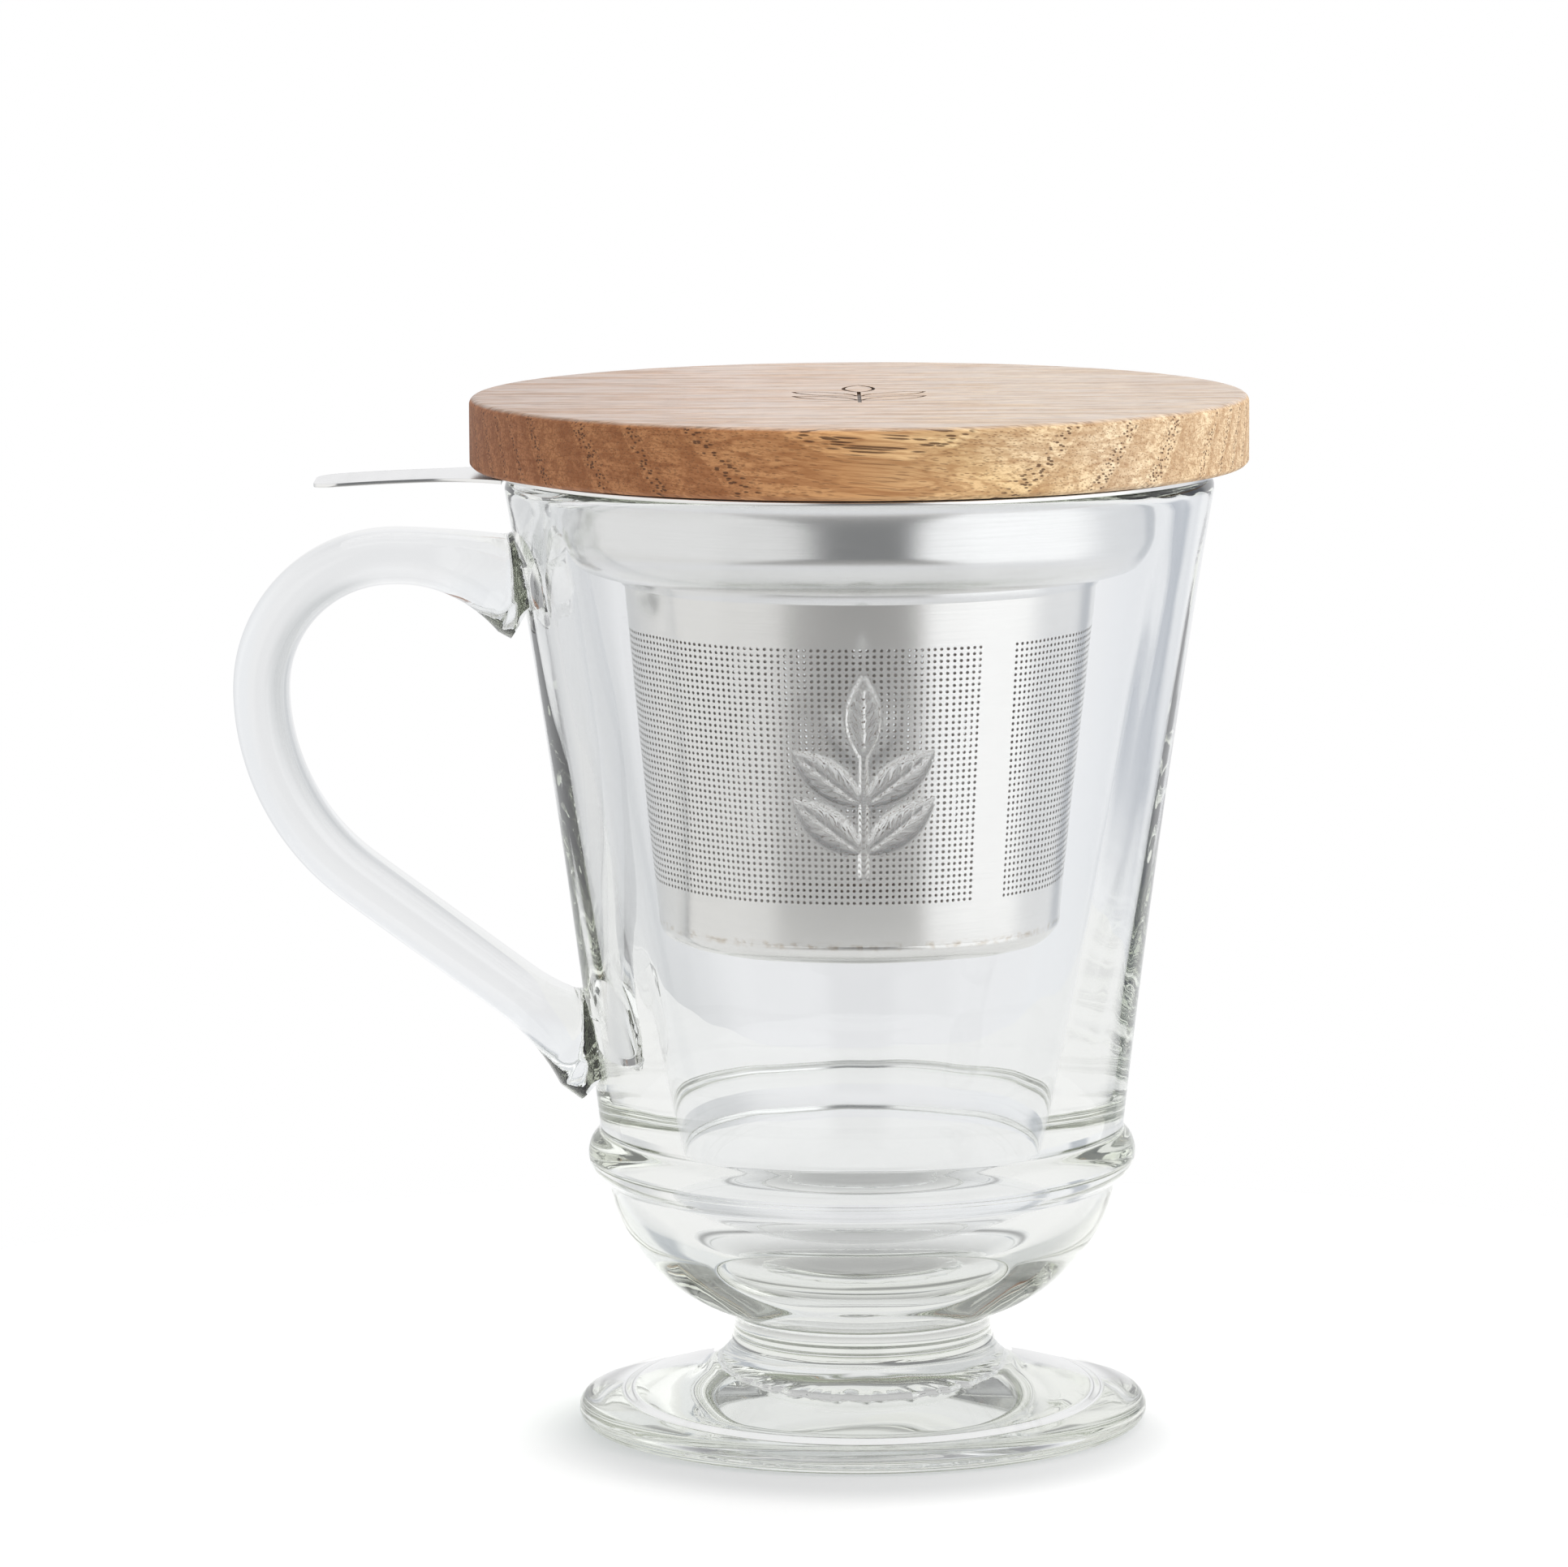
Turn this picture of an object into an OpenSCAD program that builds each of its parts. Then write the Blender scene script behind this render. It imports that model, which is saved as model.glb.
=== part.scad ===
// Lidded tea mug with infuser: a footed glass mug with a handle, a lift-out
// steel infuser hung from its rim, and an oak lid with a seal ring.
// The origin is on the mug's axis, in the plane that the foot stands on.
// +Z is up, the handle and the infuser's tab point to -X, the sprig faces -Y.

/* [Glass bowl] */
// Height of the glass from the table to its rim
glass_h = 130; // [124:1:140]
// Outer radius of the rim
rim_r = 48.2; // [46:0.2:52]
// Thickness of the wall at the rim
rim_wall = 4.8; // [4.4:0.1:5.4]
// Radius that rounds each edge of the rim
rim_round = 2; // [1:0.1:2.1]
// How far the outer wall bows in from a straight cone
outer_bow = 0.65; // [0:0.05:1.5]
// Radius of the inside where the wall meets the rounded floor
floor_r = 25.4; // [23:0.2:27]
// Height of that place above the middle of the bead
floor_rise = 1.3; // [0:0.1:4]
// Depth of the rounded floor below that place
floor_depth = 13.9; // [12:0.1:17]
// How far the inner wall bows out from a straight cone
inner_bow = 1; // [0:0.1:2]
// Radius of the rounded bead around the bowl
bead_r = 3.7; // [3.4:0.1:4.4]
// How far the bead stands out from the lower bowl
bead_proud = 2.35; // [1.6:0.05:3]
// How far the wall above the bead stands out from the lower bowl
waist_step = 0.65; // [0:0.05:1.4]
// Radius of the lower bowl at its widest
base_r = 34.9; // [33:0.1:37]
// Radius of the curve of the lower bowl in side view
base_curve = 22.7; // [21:0.1:26]

/* [Glass foot] */
// Radius of the foot
foot_r = 38.8; // [34:0.2:44]
// Radius that rounds the edge of the foot
foot_edge = 1.9; // [1.4:0.1:2.6]
// Slope of the top of the foot in degrees
foot_slope = 15; // [10:1:20]
// Radius of the neck between bowl and foot
neck_r = 17.5; // [14:0.5:20]
// Height of the straight part of the neck
neck_h = 1.5; // [0.5:0.1:3]
// Radius of the fillet from the neck to the foot
neck_fillet = 6; // [4:0.5:9]
// Width of the ring that the foot stands on
rest_w = 5.5; // [3:0.5:8]
// Depth of the recess inside that ring
recess_h = 0.8; // [0.4:0.1:1.2]
// Radius of the hollow in the middle of the underside
kick_r = 15.8; // [12:0.2:20]
// Height of the steep edge round that hollow
kick_step = 1.3; // [0.5:0.1:1.8]
// Height of that hollow above the table
kick_h = 3; // [2.8:0.1:4]

/* [Glass handle] */
// Farthest reach of the handle from the axis
handle_reach = 84.8; // [80:0.2:90]
// Drop from the rim to the handle's top centre line
handle_drop = 11.1; // [9:0.1:16]
// Thickness of the handle in side view
handle_thick = 7.6; // [6.4:0.1:9]
// Width of the handle seen from its end
handle_width = 13; // [10:0.5:16]
// Radius of the centre line at the upper outer corner
handle_corner = 18; // [14:0.5:22]
// Radius of the centre line along the outer side
handle_side = 32; // [28:0.5:36]
// Slope of the leg that runs down to the bowl in degrees
handle_leg_slope = 36.5; // [32:0.5:42]
// Radius of the centre line at the upper root
handle_root_curve = 37; // [32:1:44]
// How much thicker the handle is where it joins the bowl
root_flare = 6; // [3:0.5:8]
// How much wider the handle is where it joins the bowl
root_spread = 4; // [2:0.5:6]
// Length over which the upper root thickens
root_blend_top = 15; // [9:1:18]
// Length over which the lower root thickens
root_blend_low = 9; // [6:1:12]

/* [Sprig on the glass] */
// Height of the middle of the sprig below the rim
sprig_drop = 36; // [30:1:44]
// Length of the sprig
sprig_len = 27; // [20:1:32]
// Length of one leaf
leaf_len = 11.6; // [8:0.2:13]
// Width of one leaf
leaf_w = 4.6; // [3:0.2:5.6]
// Angle between a side leaf and the stem in degrees
leaf_angle = 52; // [36:1:60]
// Width of the stem
stem_w = 1.2; // [0.8:0.1:1.8]
// Height of the sprig over the glass
sprig_relief = 0.8; // [0.4:0.1:1.2]

/* [Infuser] */
// Thickness of the sheet of the rim, collar and tab
rim_sheet = 0.5; // [0.4:0.1:0.8]
// How far the rim reaches past the glass
flange_lip = 0.7; // [0.2:0.1:1.4]
// Gap between the collar and the glass at the rim
collar_gap = 3.2; // [2:0.1:4]
// Depth of the collar below the top of its rim
collar_h = 13.2; // [11:0.2:18]
// Outer radius of the bend from rim to collar
collar_bend = 1.2; // [0.6:0.1:2]
// Radius of the collar's lower corner
collar_corner = 5.5; // [3:0.5:6.5]
// Height of the lip that holds the sleeve
lip_h = 1.6; // [1:0.1:3]
// Outer radius of the sleeve under the collar
sleeve_top_r = 31.8; // [29:0.1:32.6]
// Outer radius of the sleeve at its foot
sleeve_low_r = 27.4; // [25:0.1:29]
// Thickness of the sheet of the sleeve and the base
sleeve_sheet = 0.4; // [0.3:0.05:0.6]
// Depth of the whole basket below the rim of the glass
basket_h = 63; // [50:1:70]
// Height of the pressed base
base_h = 2.6; // [2:0.1:5]
// Radius of the base's outer corner
base_corner = 2.4; // [1:0.1:2.4]

/* [Tab] */
// Reach of the tab from the axis
tab_reach = 73.4; // [68:0.2:80]
// Width of the tab at its end
tab_w = 14.6; // [12:0.2:18]
// Radius of the tab's end corners
tab_corner = 3.5; // [2:0.5:5]
// Radius of the flare from the tab into the rim
tab_flare = 14; // [8:1:18]
// Radius of the tab's bow in side view
tab_bow = 330; // [220:10:500]

/* [Lid] */
// How far the wooden lid reaches past the steel rim
lid_overhang = 3.6; // [2:0.1:6]
// Thickness of the wooden disc
lid_t = 9.4; // [7:0.2:12]
// Radius that rounds its upper edge
lid_round = 1; // [0.5:0.1:2]
// Bevel of its lower edge
lid_bevel = 0.5; // [0.2:0.1:1]
// Length of the spigot under the disc
spigot_h = 6.6; // [6:0.2:9]
// Height of the spigot's foot that keeps the seal on
keeper_h = 1; // [0.6:0.1:1.6]
// How far that foot stands out under the seal
keeper_proud = 0.6; // [0.3:0.1:1]
// Thickness of the seal between wood and steel
seal_t = 0.5; // [0.4:0.05:1]
// Distance of the seal's edge inside the edge of the steel rim
seal_inset = 0.5; // [0.2:0.1:2]
// Thickness of the seal's sleeve around the spigot
seal_wall = 1; // [0.8:0.1:1.4]
// Radius of the seal's rounded rib
seal_rib = 0.9; // [0.7:0.1:1.2]
// How far the rib stands out from the seal's sleeve
rib_proud = 0.5; // [0.3:0.05:0.7]
// Clearance between the rib and the collar
seal_clear = 0.3; // [0.2:0.05:0.5]
// Depth of the sprig cut into the lid
engrave_h = 0.3; // [0.2:0.05:0.6]
// Width of the lines of that sprig
engrave_w = 0.5; // [0.3:0.1:0.8]

/* [Hidden] */
$fn = 96;

wall_steps = 14;         // straight pieces of a bowed wall
curve_steps = 10;        // straight pieces of a rounded corner
bowl_steps = 16;         // straight pieces of the lower bowl
ring_sides = 16;         // corners of the handle's section
section_power = 2.6;     // squareness of that section, 2 is an ellipse
floor_power = 2.8;       // squareness of the rounded floor in side view
root_embed = 2.5;        // how deep the sweep starts inside the wall before it is cut
root_tries = 6;          // rounds that find where the leg meets the wall
over = 1;                // how far a cutting shape runs past what it cuts

// Foot: the cone of its top touches the rounded edge and the fillet of the neck.
edge_c = foot_r - foot_edge;
edge_top = [edge_c + foot_edge * sin(foot_slope), foot_edge * (1 + cos(foot_slope))];
fillet_turn = 90 - foot_slope;
fillet_c = neck_r + neck_fillet;
fillet_end_r = fillet_c - neck_fillet * cos(fillet_turn);
fillet_end_z = edge_top[1] + (edge_top[0] - fillet_end_r) * tan(foot_slope);
fillet_top_z = fillet_end_z + neck_fillet * sin(fillet_turn);
neck_z = fillet_top_z + neck_h;
rest_r = edge_c - rest_w;

// Bowl: its lower curve starts at the neck and ends in the bead.
base_c = base_r - base_curve;
bead_z = neck_z + sqrt(pow(base_curve, 2) - pow(neck_r - base_c, 2));
bead_c = base_r + bead_proud - bead_r;
crease_r = base_c + (pow(bead_c - base_c, 2) + pow(base_curve, 2) - pow(bead_r, 2))
           / (2 * (bead_c - base_c));
crease_drop = sqrt(pow(base_curve, 2) - pow(crease_r - base_c, 2));
waist_r = base_r + waist_step;
wall_z = bead_z + sqrt(pow(bead_r, 2) - pow(waist_r - bead_c, 2));
floor_z = bead_z + floor_rise;
mouth_r = rim_r - rim_wall;

// Infuser: it hangs from the rim, and the sleeve tapers in a straight cone.
rim_top = glass_h + rim_sheet;
flange_r = rim_r + flange_lip;
collar_r = mouth_r - collar_gap;
shoulder_z = rim_top - collar_h;
lip_z = shoulder_z - lip_h;
basket_z = glass_h - basket_h;
joint_z = basket_z + base_h;

// Lid: the seal lies on the steel rim, and the wood lies on the seal.
lid_z = rim_top + seal_t;
lid_r = flange_r + lid_overhang;
seal_r = flange_r - seal_inset;
spigot_r = collar_r - rim_sheet - seal_clear - rib_proud - seal_wall;
spigot_z = lid_z - spigot_h;
rib_z = (spigot_z + keeper_h + rim_top) / 2;

// Points of a circle's arc about [r, z], from angle a to angle b.
function arc(c, radius, a, b, n) =
    [for (i = [0:n]) let (t = a + (b - a) * i / n) c + radius * [cos(t), sin(t)]];

// A straight taper from low to high that bows out by bow half way up.
function bowed(low, high, bow, t) = low + (high - low) * t + bow * 4 * t * (1 - t);

function outer_r(z) = bowed(waist_r, rim_r, -outer_bow, (z - wall_z) / (glass_h - wall_z));
function inner_r(z) = bowed(floor_r, mouth_r, inner_bow, (z - floor_z) / (glass_h - floor_z));
function sleeve_r(z) =
    sleeve_low_r + (sleeve_top_r - sleeve_low_r) * (z - joint_z) / (shoulder_z - joint_z);
function between(a, b, n) = [for (i = [0:n]) a + (b - a) * i / n];

rim_z = glass_h - rim_round;

// Outside of the bowl from the neck to the top of the rim.
function bowl_outside() = concat(
    [[neck_r, neck_z]],
    arc([base_c, bead_z], base_curve,
        -asin((bead_z - neck_z) / base_curve), -asin(crease_drop / base_curve), bowl_steps),
    arc([bead_c, bead_z], bead_r,
        -acos((crease_r - bead_c) / bead_r), acos((waist_r - bead_c) / bead_r), curve_steps),
    [for (z = between(wall_z, rim_z, wall_steps)) if (z > wall_z) [outer_r(z), z]],
    arc([outer_r(rim_z) - rim_round, rim_z], rim_round, 0, 90, curve_steps)
);

// Inside of the bowl from the rim down to the middle of the rounded floor.
function bowl_inside() = concat(
    arc([inner_r(rim_z) + rim_round, rim_z], rim_round, 90, 180, curve_steps),
    [for (z = between(rim_z, floor_z, wall_steps)) if (z < rim_z) [inner_r(z), z]],
    [for (t = between(0, 90, bowl_steps)) if (t > 0)
        [floor_r * pow(cos(t), 2 / floor_power), floor_z - floor_depth * pow(sin(t), 2 / floor_power)]]
);

// Fills the outside of the bowl, grown by a given amount.
module bowl_outer_solid(grow) {
    rotate_extrude()
        polygon(concat(
            [[0, wall_z]],
            [for (z = between(wall_z, glass_h, wall_steps)) [outer_r(z) + grow, z]],
            [[0, glass_h]]
        ));
}

// Fills everything that the handle must stop at.
module bowl_filled() {
    rotate_extrude()
        polygon(concat([[0, neck_z]], bowl_outside(), [[0, glass_h]]));
}

module glass_bowl() {
    color([0.86, 0.91, 0.9, 0.4])
        rotate_extrude()
            polygon(concat([[0, neck_z]], bowl_outside(), bowl_inside()));
}

module glass_foot() {
    dome_r = between(0, kick_r, curve_steps);
    dome_h = kick_h - recess_h - kick_step;
    color([0.86, 0.91, 0.9, 0.4])
        rotate_extrude()
            polygon(concat(
                [for (r = dome_r) [r, kick_h - dome_h * pow(r / kick_r, 2)]],
                [[kick_r, recess_h], [rest_r - recess_h, recess_h], [rest_r, 0]],
                arc([edge_c, foot_edge], foot_edge, -90, 90 - foot_slope, curve_steps),
                arc([fillet_c, fillet_top_z], neck_fillet, 180 + fillet_turn, 180, curve_steps),
                [[neck_r, neck_z], [0, neck_z]]
            ));
}

// Handle: its centre line is [distance from the axis, height] in the plane y = 0.
handle_mid_r = handle_reach - handle_thick / 2;
handle_top_z = glass_h - handle_drop;
corner_c = [handle_mid_r - handle_corner, handle_top_z - handle_corner];
side_c = [handle_mid_r - handle_side, corner_c[1]];
side_turn = 90 - handle_leg_slope;
leg_start = side_c + handle_side * [cos(side_turn), -sin(side_turn)];
root_c = [corner_c[0], handle_top_z - handle_root_curve];
root_turn = asin((corner_c[0] - outer_r(handle_top_z) + root_embed) / handle_root_curve);

function leg_z(r) = leg_start[1] - (leg_start[0] - r) * tan(handle_leg_slope);
function leg_foot(z, tries) =
    tries == 0 ? z : leg_foot(leg_z(outer_r(z) - root_embed), tries - 1);
leg_end_z = leg_foot(leg_start[1], root_tries);
leg_end = [outer_r(leg_end_z) - root_embed, leg_end_z];

function without_last(list) = [for (i = [0:len(list) - 2]) list[i]];
handle_line = concat(
    without_last(arc(root_c, handle_root_curve, 90 + root_turn, 90, 6)),
    without_last(arc(corner_c, handle_corner, 90, 0, 10)),
    without_last(arc(side_c, handle_side, 0, -side_turn, 8)),
    between(leg_start, leg_end, 8)
);

function heading(line, i) =
    let (a = line[max(i - 1, 0)], b = line[min(i + 1, len(line) - 1)]) (b - a) / norm(b - a);
function blend(p) = p[1] > corner_c[1] ? root_blend_top : root_blend_low;
function root_share(p) = pow(max(0, min(1, 1 - (p[0] - outer_r(p[1])) / blend(p))), 2);
function rounded(t) = sign(t) * pow(abs(t), 2 / section_power);

// One ring of the handle's section around point i of its centre line.
function handle_ring(i) =
    let (
        p = handle_line[i],
        h = heading(handle_line, i),
        half_t = (handle_thick + root_flare * root_share(p)) / 2,
        half_w = (handle_width + root_spread * root_share(p)) / 2
    )
    [for (k = [0:ring_sides - 1])
        let (
            a = 360 * (k + 0.5) / ring_sides,
            q = p + half_t * rounded(sin(a)) * [-h[1], h[0]]
        )
        [-q[0], half_w * rounded(cos(a)), q[1]]];

module swept_handle() {
    count = len(handle_line);
    rings = [for (i = [0:count - 1]) each handle_ring(i)];
    sides = [for (i = [0:count - 2], k = [0:ring_sides - 1])
        let (n = (k + 1) % ring_sides, a = i * ring_sides, b = a + ring_sides)
        each [[a + k, b + k, b + n], [a + k, b + n, a + n]]];
    first = [for (k = [0:ring_sides - 1]) k];
    last = [for (k = [1:ring_sides]) count * ring_sides - k];
    polyhedron(points = rings, faces = concat(sides, [first, last]));
}

module glass_handle() {
    color([0.86, 0.91, 0.9, 0.4])
        difference() {
            swept_handle();
            bowl_filled();
        }
}

// A leaf with its base at the origin and its tip on +Y, shrunk all round by inset.
module leaf(inset) {
    curve_r = (pow(leaf_len / 2, 2) + pow(leaf_w / 2, 2)) / leaf_w;
    translate([0, leaf_len / 2])
        intersection() {
            translate([curve_r - leaf_w / 2, 0]) circle(curve_r - inset);
            translate([leaf_w / 2 - curve_r, 0]) circle(curve_r - inset);
        }
}

// The sprig: a stem, a leaf at its top and two pairs of side leaves.
pair_low = 0.2;    // height of the lower pair as a share of the stem
pair_high = 0.62;  // height of the upper pair as a share of the stem
module sprig_leaves(inset) {
    stem_len = sprig_len - leaf_len;
    translate([0, stem_len - sprig_len / 2]) leaf(inset);
    for (share = [pair_low, pair_high], side = [-1, 1])
        translate([0, share * stem_len - sprig_len / 2])
            rotate(side * leaf_angle)
                leaf(inset);
}

module sprig_stem(width) {
    stem_len = sprig_len - leaf_len;
    translate([-width / 2, -sprig_len / 2]) square([width, stem_len + stem_w]);
}

module glass_sprig() {
    color([0.86, 0.91, 0.9, 0.4])
        intersection() {
            translate([0, 0, glass_h - sprig_drop])
                rotate([90, 0, 0])
                    linear_extrude(rim_r + over)
                        union() {
                            sprig_leaves(0);
                            sprig_stem(stem_w);
                        }
            difference() {
                bowl_outer_solid(sprig_relief);
                bowl_outer_solid(0);
            }
        }
}

// Outline of the pressed rim and collar, from the rim's underside down and back up.
module collar_profile() {
    bend_c = [collar_r + collar_bend, glass_h - collar_bend];
    low_c = [collar_r - collar_corner, shoulder_z + collar_corner];
    polygon(concat(
        [[flange_r, glass_h]],
        arc(bend_c, collar_bend, 90, 180, curve_steps),
        arc(low_c, collar_corner, 0, -90, curve_steps),
        [[sleeve_r(shoulder_z) + rim_sheet, shoulder_z]],
        [[sleeve_r(lip_z) + rim_sheet, lip_z]],
        [[sleeve_r(lip_z), lip_z]],
        [[sleeve_r(shoulder_z), shoulder_z]],
        [[sleeve_r(shoulder_z), shoulder_z + rim_sheet]],
        arc(low_c, collar_corner - rim_sheet, -90, 0, curve_steps),
        arc(bend_c, collar_bend + rim_sheet, 180, 90, curve_steps),
        [[flange_r, rim_top]]
    ));
}

// Outline of the tab seen from above, drawn towards +X from inside the rim.
module tab_outline() {
    root_x = sqrt(pow(flange_r, 2) - pow(tab_w / 2 + tab_flare, 2));
    inside_x = collar_r + collar_bend + rim_sheet;
    end_x = tab_reach - tab_corner;
    difference() {
        union() {
            translate([inside_x, -tab_w / 2]) square([end_x - inside_x, tab_w]);
            translate([end_x - over, tab_corner - tab_w / 2])
                square([tab_corner + over, tab_w - 2 * tab_corner]);
            for (side = [-1, 1])
                translate([end_x, side * (tab_w / 2 - tab_corner)]) circle(tab_corner);
            translate([inside_x, -tab_w / 2 - tab_flare])
                square([root_x + tab_flare - inside_x, tab_w + 2 * tab_flare]);
        }
        for (side = [-1, 1])
            translate([root_x + tab_flare, side * (tab_w / 2 + tab_flare)]) circle(tab_flare);
        circle(inside_x);
    }
}

// The tab is cut from a sheet that bows down from the edge of the rim.
module tab_solid() {
    roll_w = 2 * flange_r;             // width of the bowed sheet before it is cut
    side = 2 * tab_bow + 2 * over;     // covers the half of the roll that isn't used
    mirror([1, 0, 0])
        intersection() {
            translate([0, 0, glass_h - tab_bow / 4])
                linear_extrude(tab_bow / 2)
                    tab_outline();
            union() {
                translate([flange_r, 0, rim_top - tab_bow])
                    rotate([90, 0, 0])
                        difference() {
                            cylinder(r = tab_bow, h = roll_w, center = true);
                            cylinder(r = tab_bow - rim_sheet, h = roll_w + over, center = true);
                            translate([-side / 2, 0, 0])
                                cube([side, side, roll_w + 2 * over], center = true);
                        }
                translate([0, -rim_r, glass_h]) cube([flange_r, 2 * rim_r, rim_sheet]);
            }
        }
}

module infuser_rim() {
    color([0.78, 0.78, 0.76])
        union() {
            rotate_extrude() collar_profile();
            tab_solid();
        }
}

module infuser_sleeve() {
    color([0.74, 0.73, 0.7])
        rotate_extrude()
            polygon([
                [sleeve_low_r, joint_z],
                [sleeve_r(shoulder_z), shoulder_z],
                [sleeve_r(shoulder_z) - sleeve_sheet, shoulder_z],
                [sleeve_low_r - sleeve_sheet, joint_z]
            ]);
}

module infuser_base() {
    corner = [sleeve_low_r - base_corner, basket_z + base_corner];
    color([0.74, 0.73, 0.7])
        rotate_extrude()
            polygon(concat(
                [[0, basket_z]],
                arc(corner, base_corner, -90, 0, curve_steps),
                [[sleeve_low_r, joint_z], [sleeve_low_r - sleeve_sheet, joint_z]],
                arc(corner, base_corner - sleeve_sheet, 0, -90, curve_steps),
                [[0, basket_z + sleeve_sheet]]
            ));
}

module lid_disc() {
    top_z = lid_z + lid_t;
    color([0.72, 0.52, 0.31])
        difference() {
            rotate_extrude()
                polygon(concat(
                    [[0, spigot_z], [spigot_r + keeper_proud, spigot_z]],
                    [[spigot_r + keeper_proud, spigot_z + keeper_h]],
                    [[spigot_r, spigot_z + keeper_h], [spigot_r, lid_z]],
                    [[lid_r - lid_bevel, lid_z], [lid_r, lid_z + lid_bevel]],
                    arc([lid_r - lid_round, top_z - lid_round], lid_round, 0, 90, curve_steps),
                    [[0, top_z]]
                ));
            translate([0, 0, top_z - engrave_h])
                linear_extrude(engrave_h + over) {
                    difference() {
                        sprig_leaves(0);
                        sprig_leaves(engrave_w);
                    }
                    sprig_stem(engrave_w);
                }
        }
}

module lid_seal() {
    color([0.2, 0.2, 0.2])
        rotate_extrude()
            union() {
                polygon([
                    [spigot_r, spigot_z + keeper_h],
                    [spigot_r + seal_wall, spigot_z + keeper_h],
                    [spigot_r + seal_wall, rim_top],
                    [seal_r, rim_top],
                    [seal_r, lid_z],
                    [spigot_r, lid_z]
                ]);
                intersection() {
                    translate([spigot_r + seal_wall + rib_proud - seal_rib, rib_z])
                        circle(seal_rib);
                    translate([spigot_r, rib_z - seal_rib])
                        square([seal_wall + rib_proud, 2 * seal_rib]);
                }
            }
}

glass_bowl();
glass_foot();
glass_handle();
glass_sprig();
infuser_rim();
infuser_sleeve();
infuser_base();
lid_disc();
lid_seal();
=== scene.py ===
import math

import bmesh
import bpy
import numpy as np
from mathutils import Matrix, Vector


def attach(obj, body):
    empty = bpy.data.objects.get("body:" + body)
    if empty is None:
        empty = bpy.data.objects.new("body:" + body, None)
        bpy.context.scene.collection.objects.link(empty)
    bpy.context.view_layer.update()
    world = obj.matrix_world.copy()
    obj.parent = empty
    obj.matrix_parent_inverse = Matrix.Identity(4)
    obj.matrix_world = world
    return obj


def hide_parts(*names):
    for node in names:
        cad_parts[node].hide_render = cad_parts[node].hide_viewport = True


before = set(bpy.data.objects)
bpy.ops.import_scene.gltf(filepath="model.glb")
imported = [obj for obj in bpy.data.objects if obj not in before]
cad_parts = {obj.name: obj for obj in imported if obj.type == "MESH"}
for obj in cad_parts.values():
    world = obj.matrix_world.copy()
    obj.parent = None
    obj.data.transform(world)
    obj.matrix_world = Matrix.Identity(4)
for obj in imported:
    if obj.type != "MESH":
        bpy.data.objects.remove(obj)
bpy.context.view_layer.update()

# Looks for the lidded tea mug with infuser, around the CAD frame.
# Sizes in this file are in millimetres; meshes and nodes take them in metres.
# The origin is on the mug's axis, in the plane that the foot stands on. +Z is
# up, the handle and the infuser's tab point to -X, the sprig faces -Y.
# A turn is an angle about the axis from the front, -Y, towards +X.
MM = 0.001

RING_COLUMNS = 192   # columns of faces round the pan and the seal
LID_COLUMNS = 256    # and round the lid

# ==== Sizes, as the CAD source gives them ====
# Bowl
GLASS_H = 130
RIM_R = 48.2
RIM_WALL = 4.8
RIM_ROUND = 2
OUTER_BOW = 0.65
FLOOR_R = 25.4
FLOOR_RISE = 1.3
FLOOR_DEPTH = 13.9
FLOOR_POWER = 2.8
INNER_BOW = 1
BEAD_R = 3.7
BEAD_PROUD = 2.35
WAIST_STEP = 0.65
BASE_R = 34.9
BASE_CURVE = 22.7

# Foot
FOOT_R = 38.8
FOOT_EDGE = 1.9
FOOT_SLOPE = 15
NECK_R = 17.5
NECK_H = 1.5
NECK_FILLET = 6
REST_W = 5.5
RECESS_H = 0.8
KICK_R = 15.8
KICK_H = 3
KICK_STEP = 1.3

# Handle
HANDLE_REACH = 84.8
HANDLE_DROP = 11.1
HANDLE_THICK = 7.6
HANDLE_WIDTH = 13
HANDLE_CORNER = 18
HANDLE_SIDE = 32
HANDLE_LEG_SLOPE = 36.5
HANDLE_ROOT_CURVE = 37
ROOT_FLARE = 6
ROOT_SPREAD = 4
ROOT_BLEND_TOP = 15
ROOT_BLEND_LOW = 9
ROOT_EMBED = 2.5
SECTION_POWER = 2.6

# Sprig
SPRIG_DROP = 36
SPRIG_LEN = 27
LEAF_LEN = 11.6
LEAF_W = 4.6
LEAF_ANGLE = 52
STEM_W = 1.2
SPRIG_RELIEF = 0.8
PAIR_LOW = 0.2
PAIR_HIGH = 0.62

# Infuser
RIM_SHEET = 0.5
FLANGE_LIP = 0.7
COLLAR_GAP = 3.2
COLLAR_H = 13.2
COLLAR_BEND = 1.2
COLLAR_CORNER = 5.5
LIP_H = 1.6
SLEEVE_TOP_R = 31.8
SLEEVE_LOW_R = 27.4
SLEEVE_SHEET = 0.4
BASKET_H = 63
BASE_H = 2.6
BASE_CORNER = 2.4

# Tab
TAB_REACH = 73.4
TAB_W = 14.6
TAB_CORNER = 3.5
TAB_FLARE = 14
TAB_BOW = 330

# Lid and seal
LID_OVERHANG = 3.6
LID_T = 9.4
LID_ROUND = 1
LID_BEVEL = 0.5
SPIGOT_H = 6.6
KEEPER_H = 1
KEEPER_PROUD = 0.6
SEAL_T = 0.5
SEAL_INSET = 0.5
SEAL_WALL = 1
SEAL_RIB = 0.9
RIB_PROUD = 0.5
SEAL_CLEAR = 0.3
ENGRAVE_H = 0.3
ENGRAVE_W = 0.5


def sind(a):
    return math.sin(math.radians(a))


def cosd(a):
    return math.cos(math.radians(a))


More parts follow.
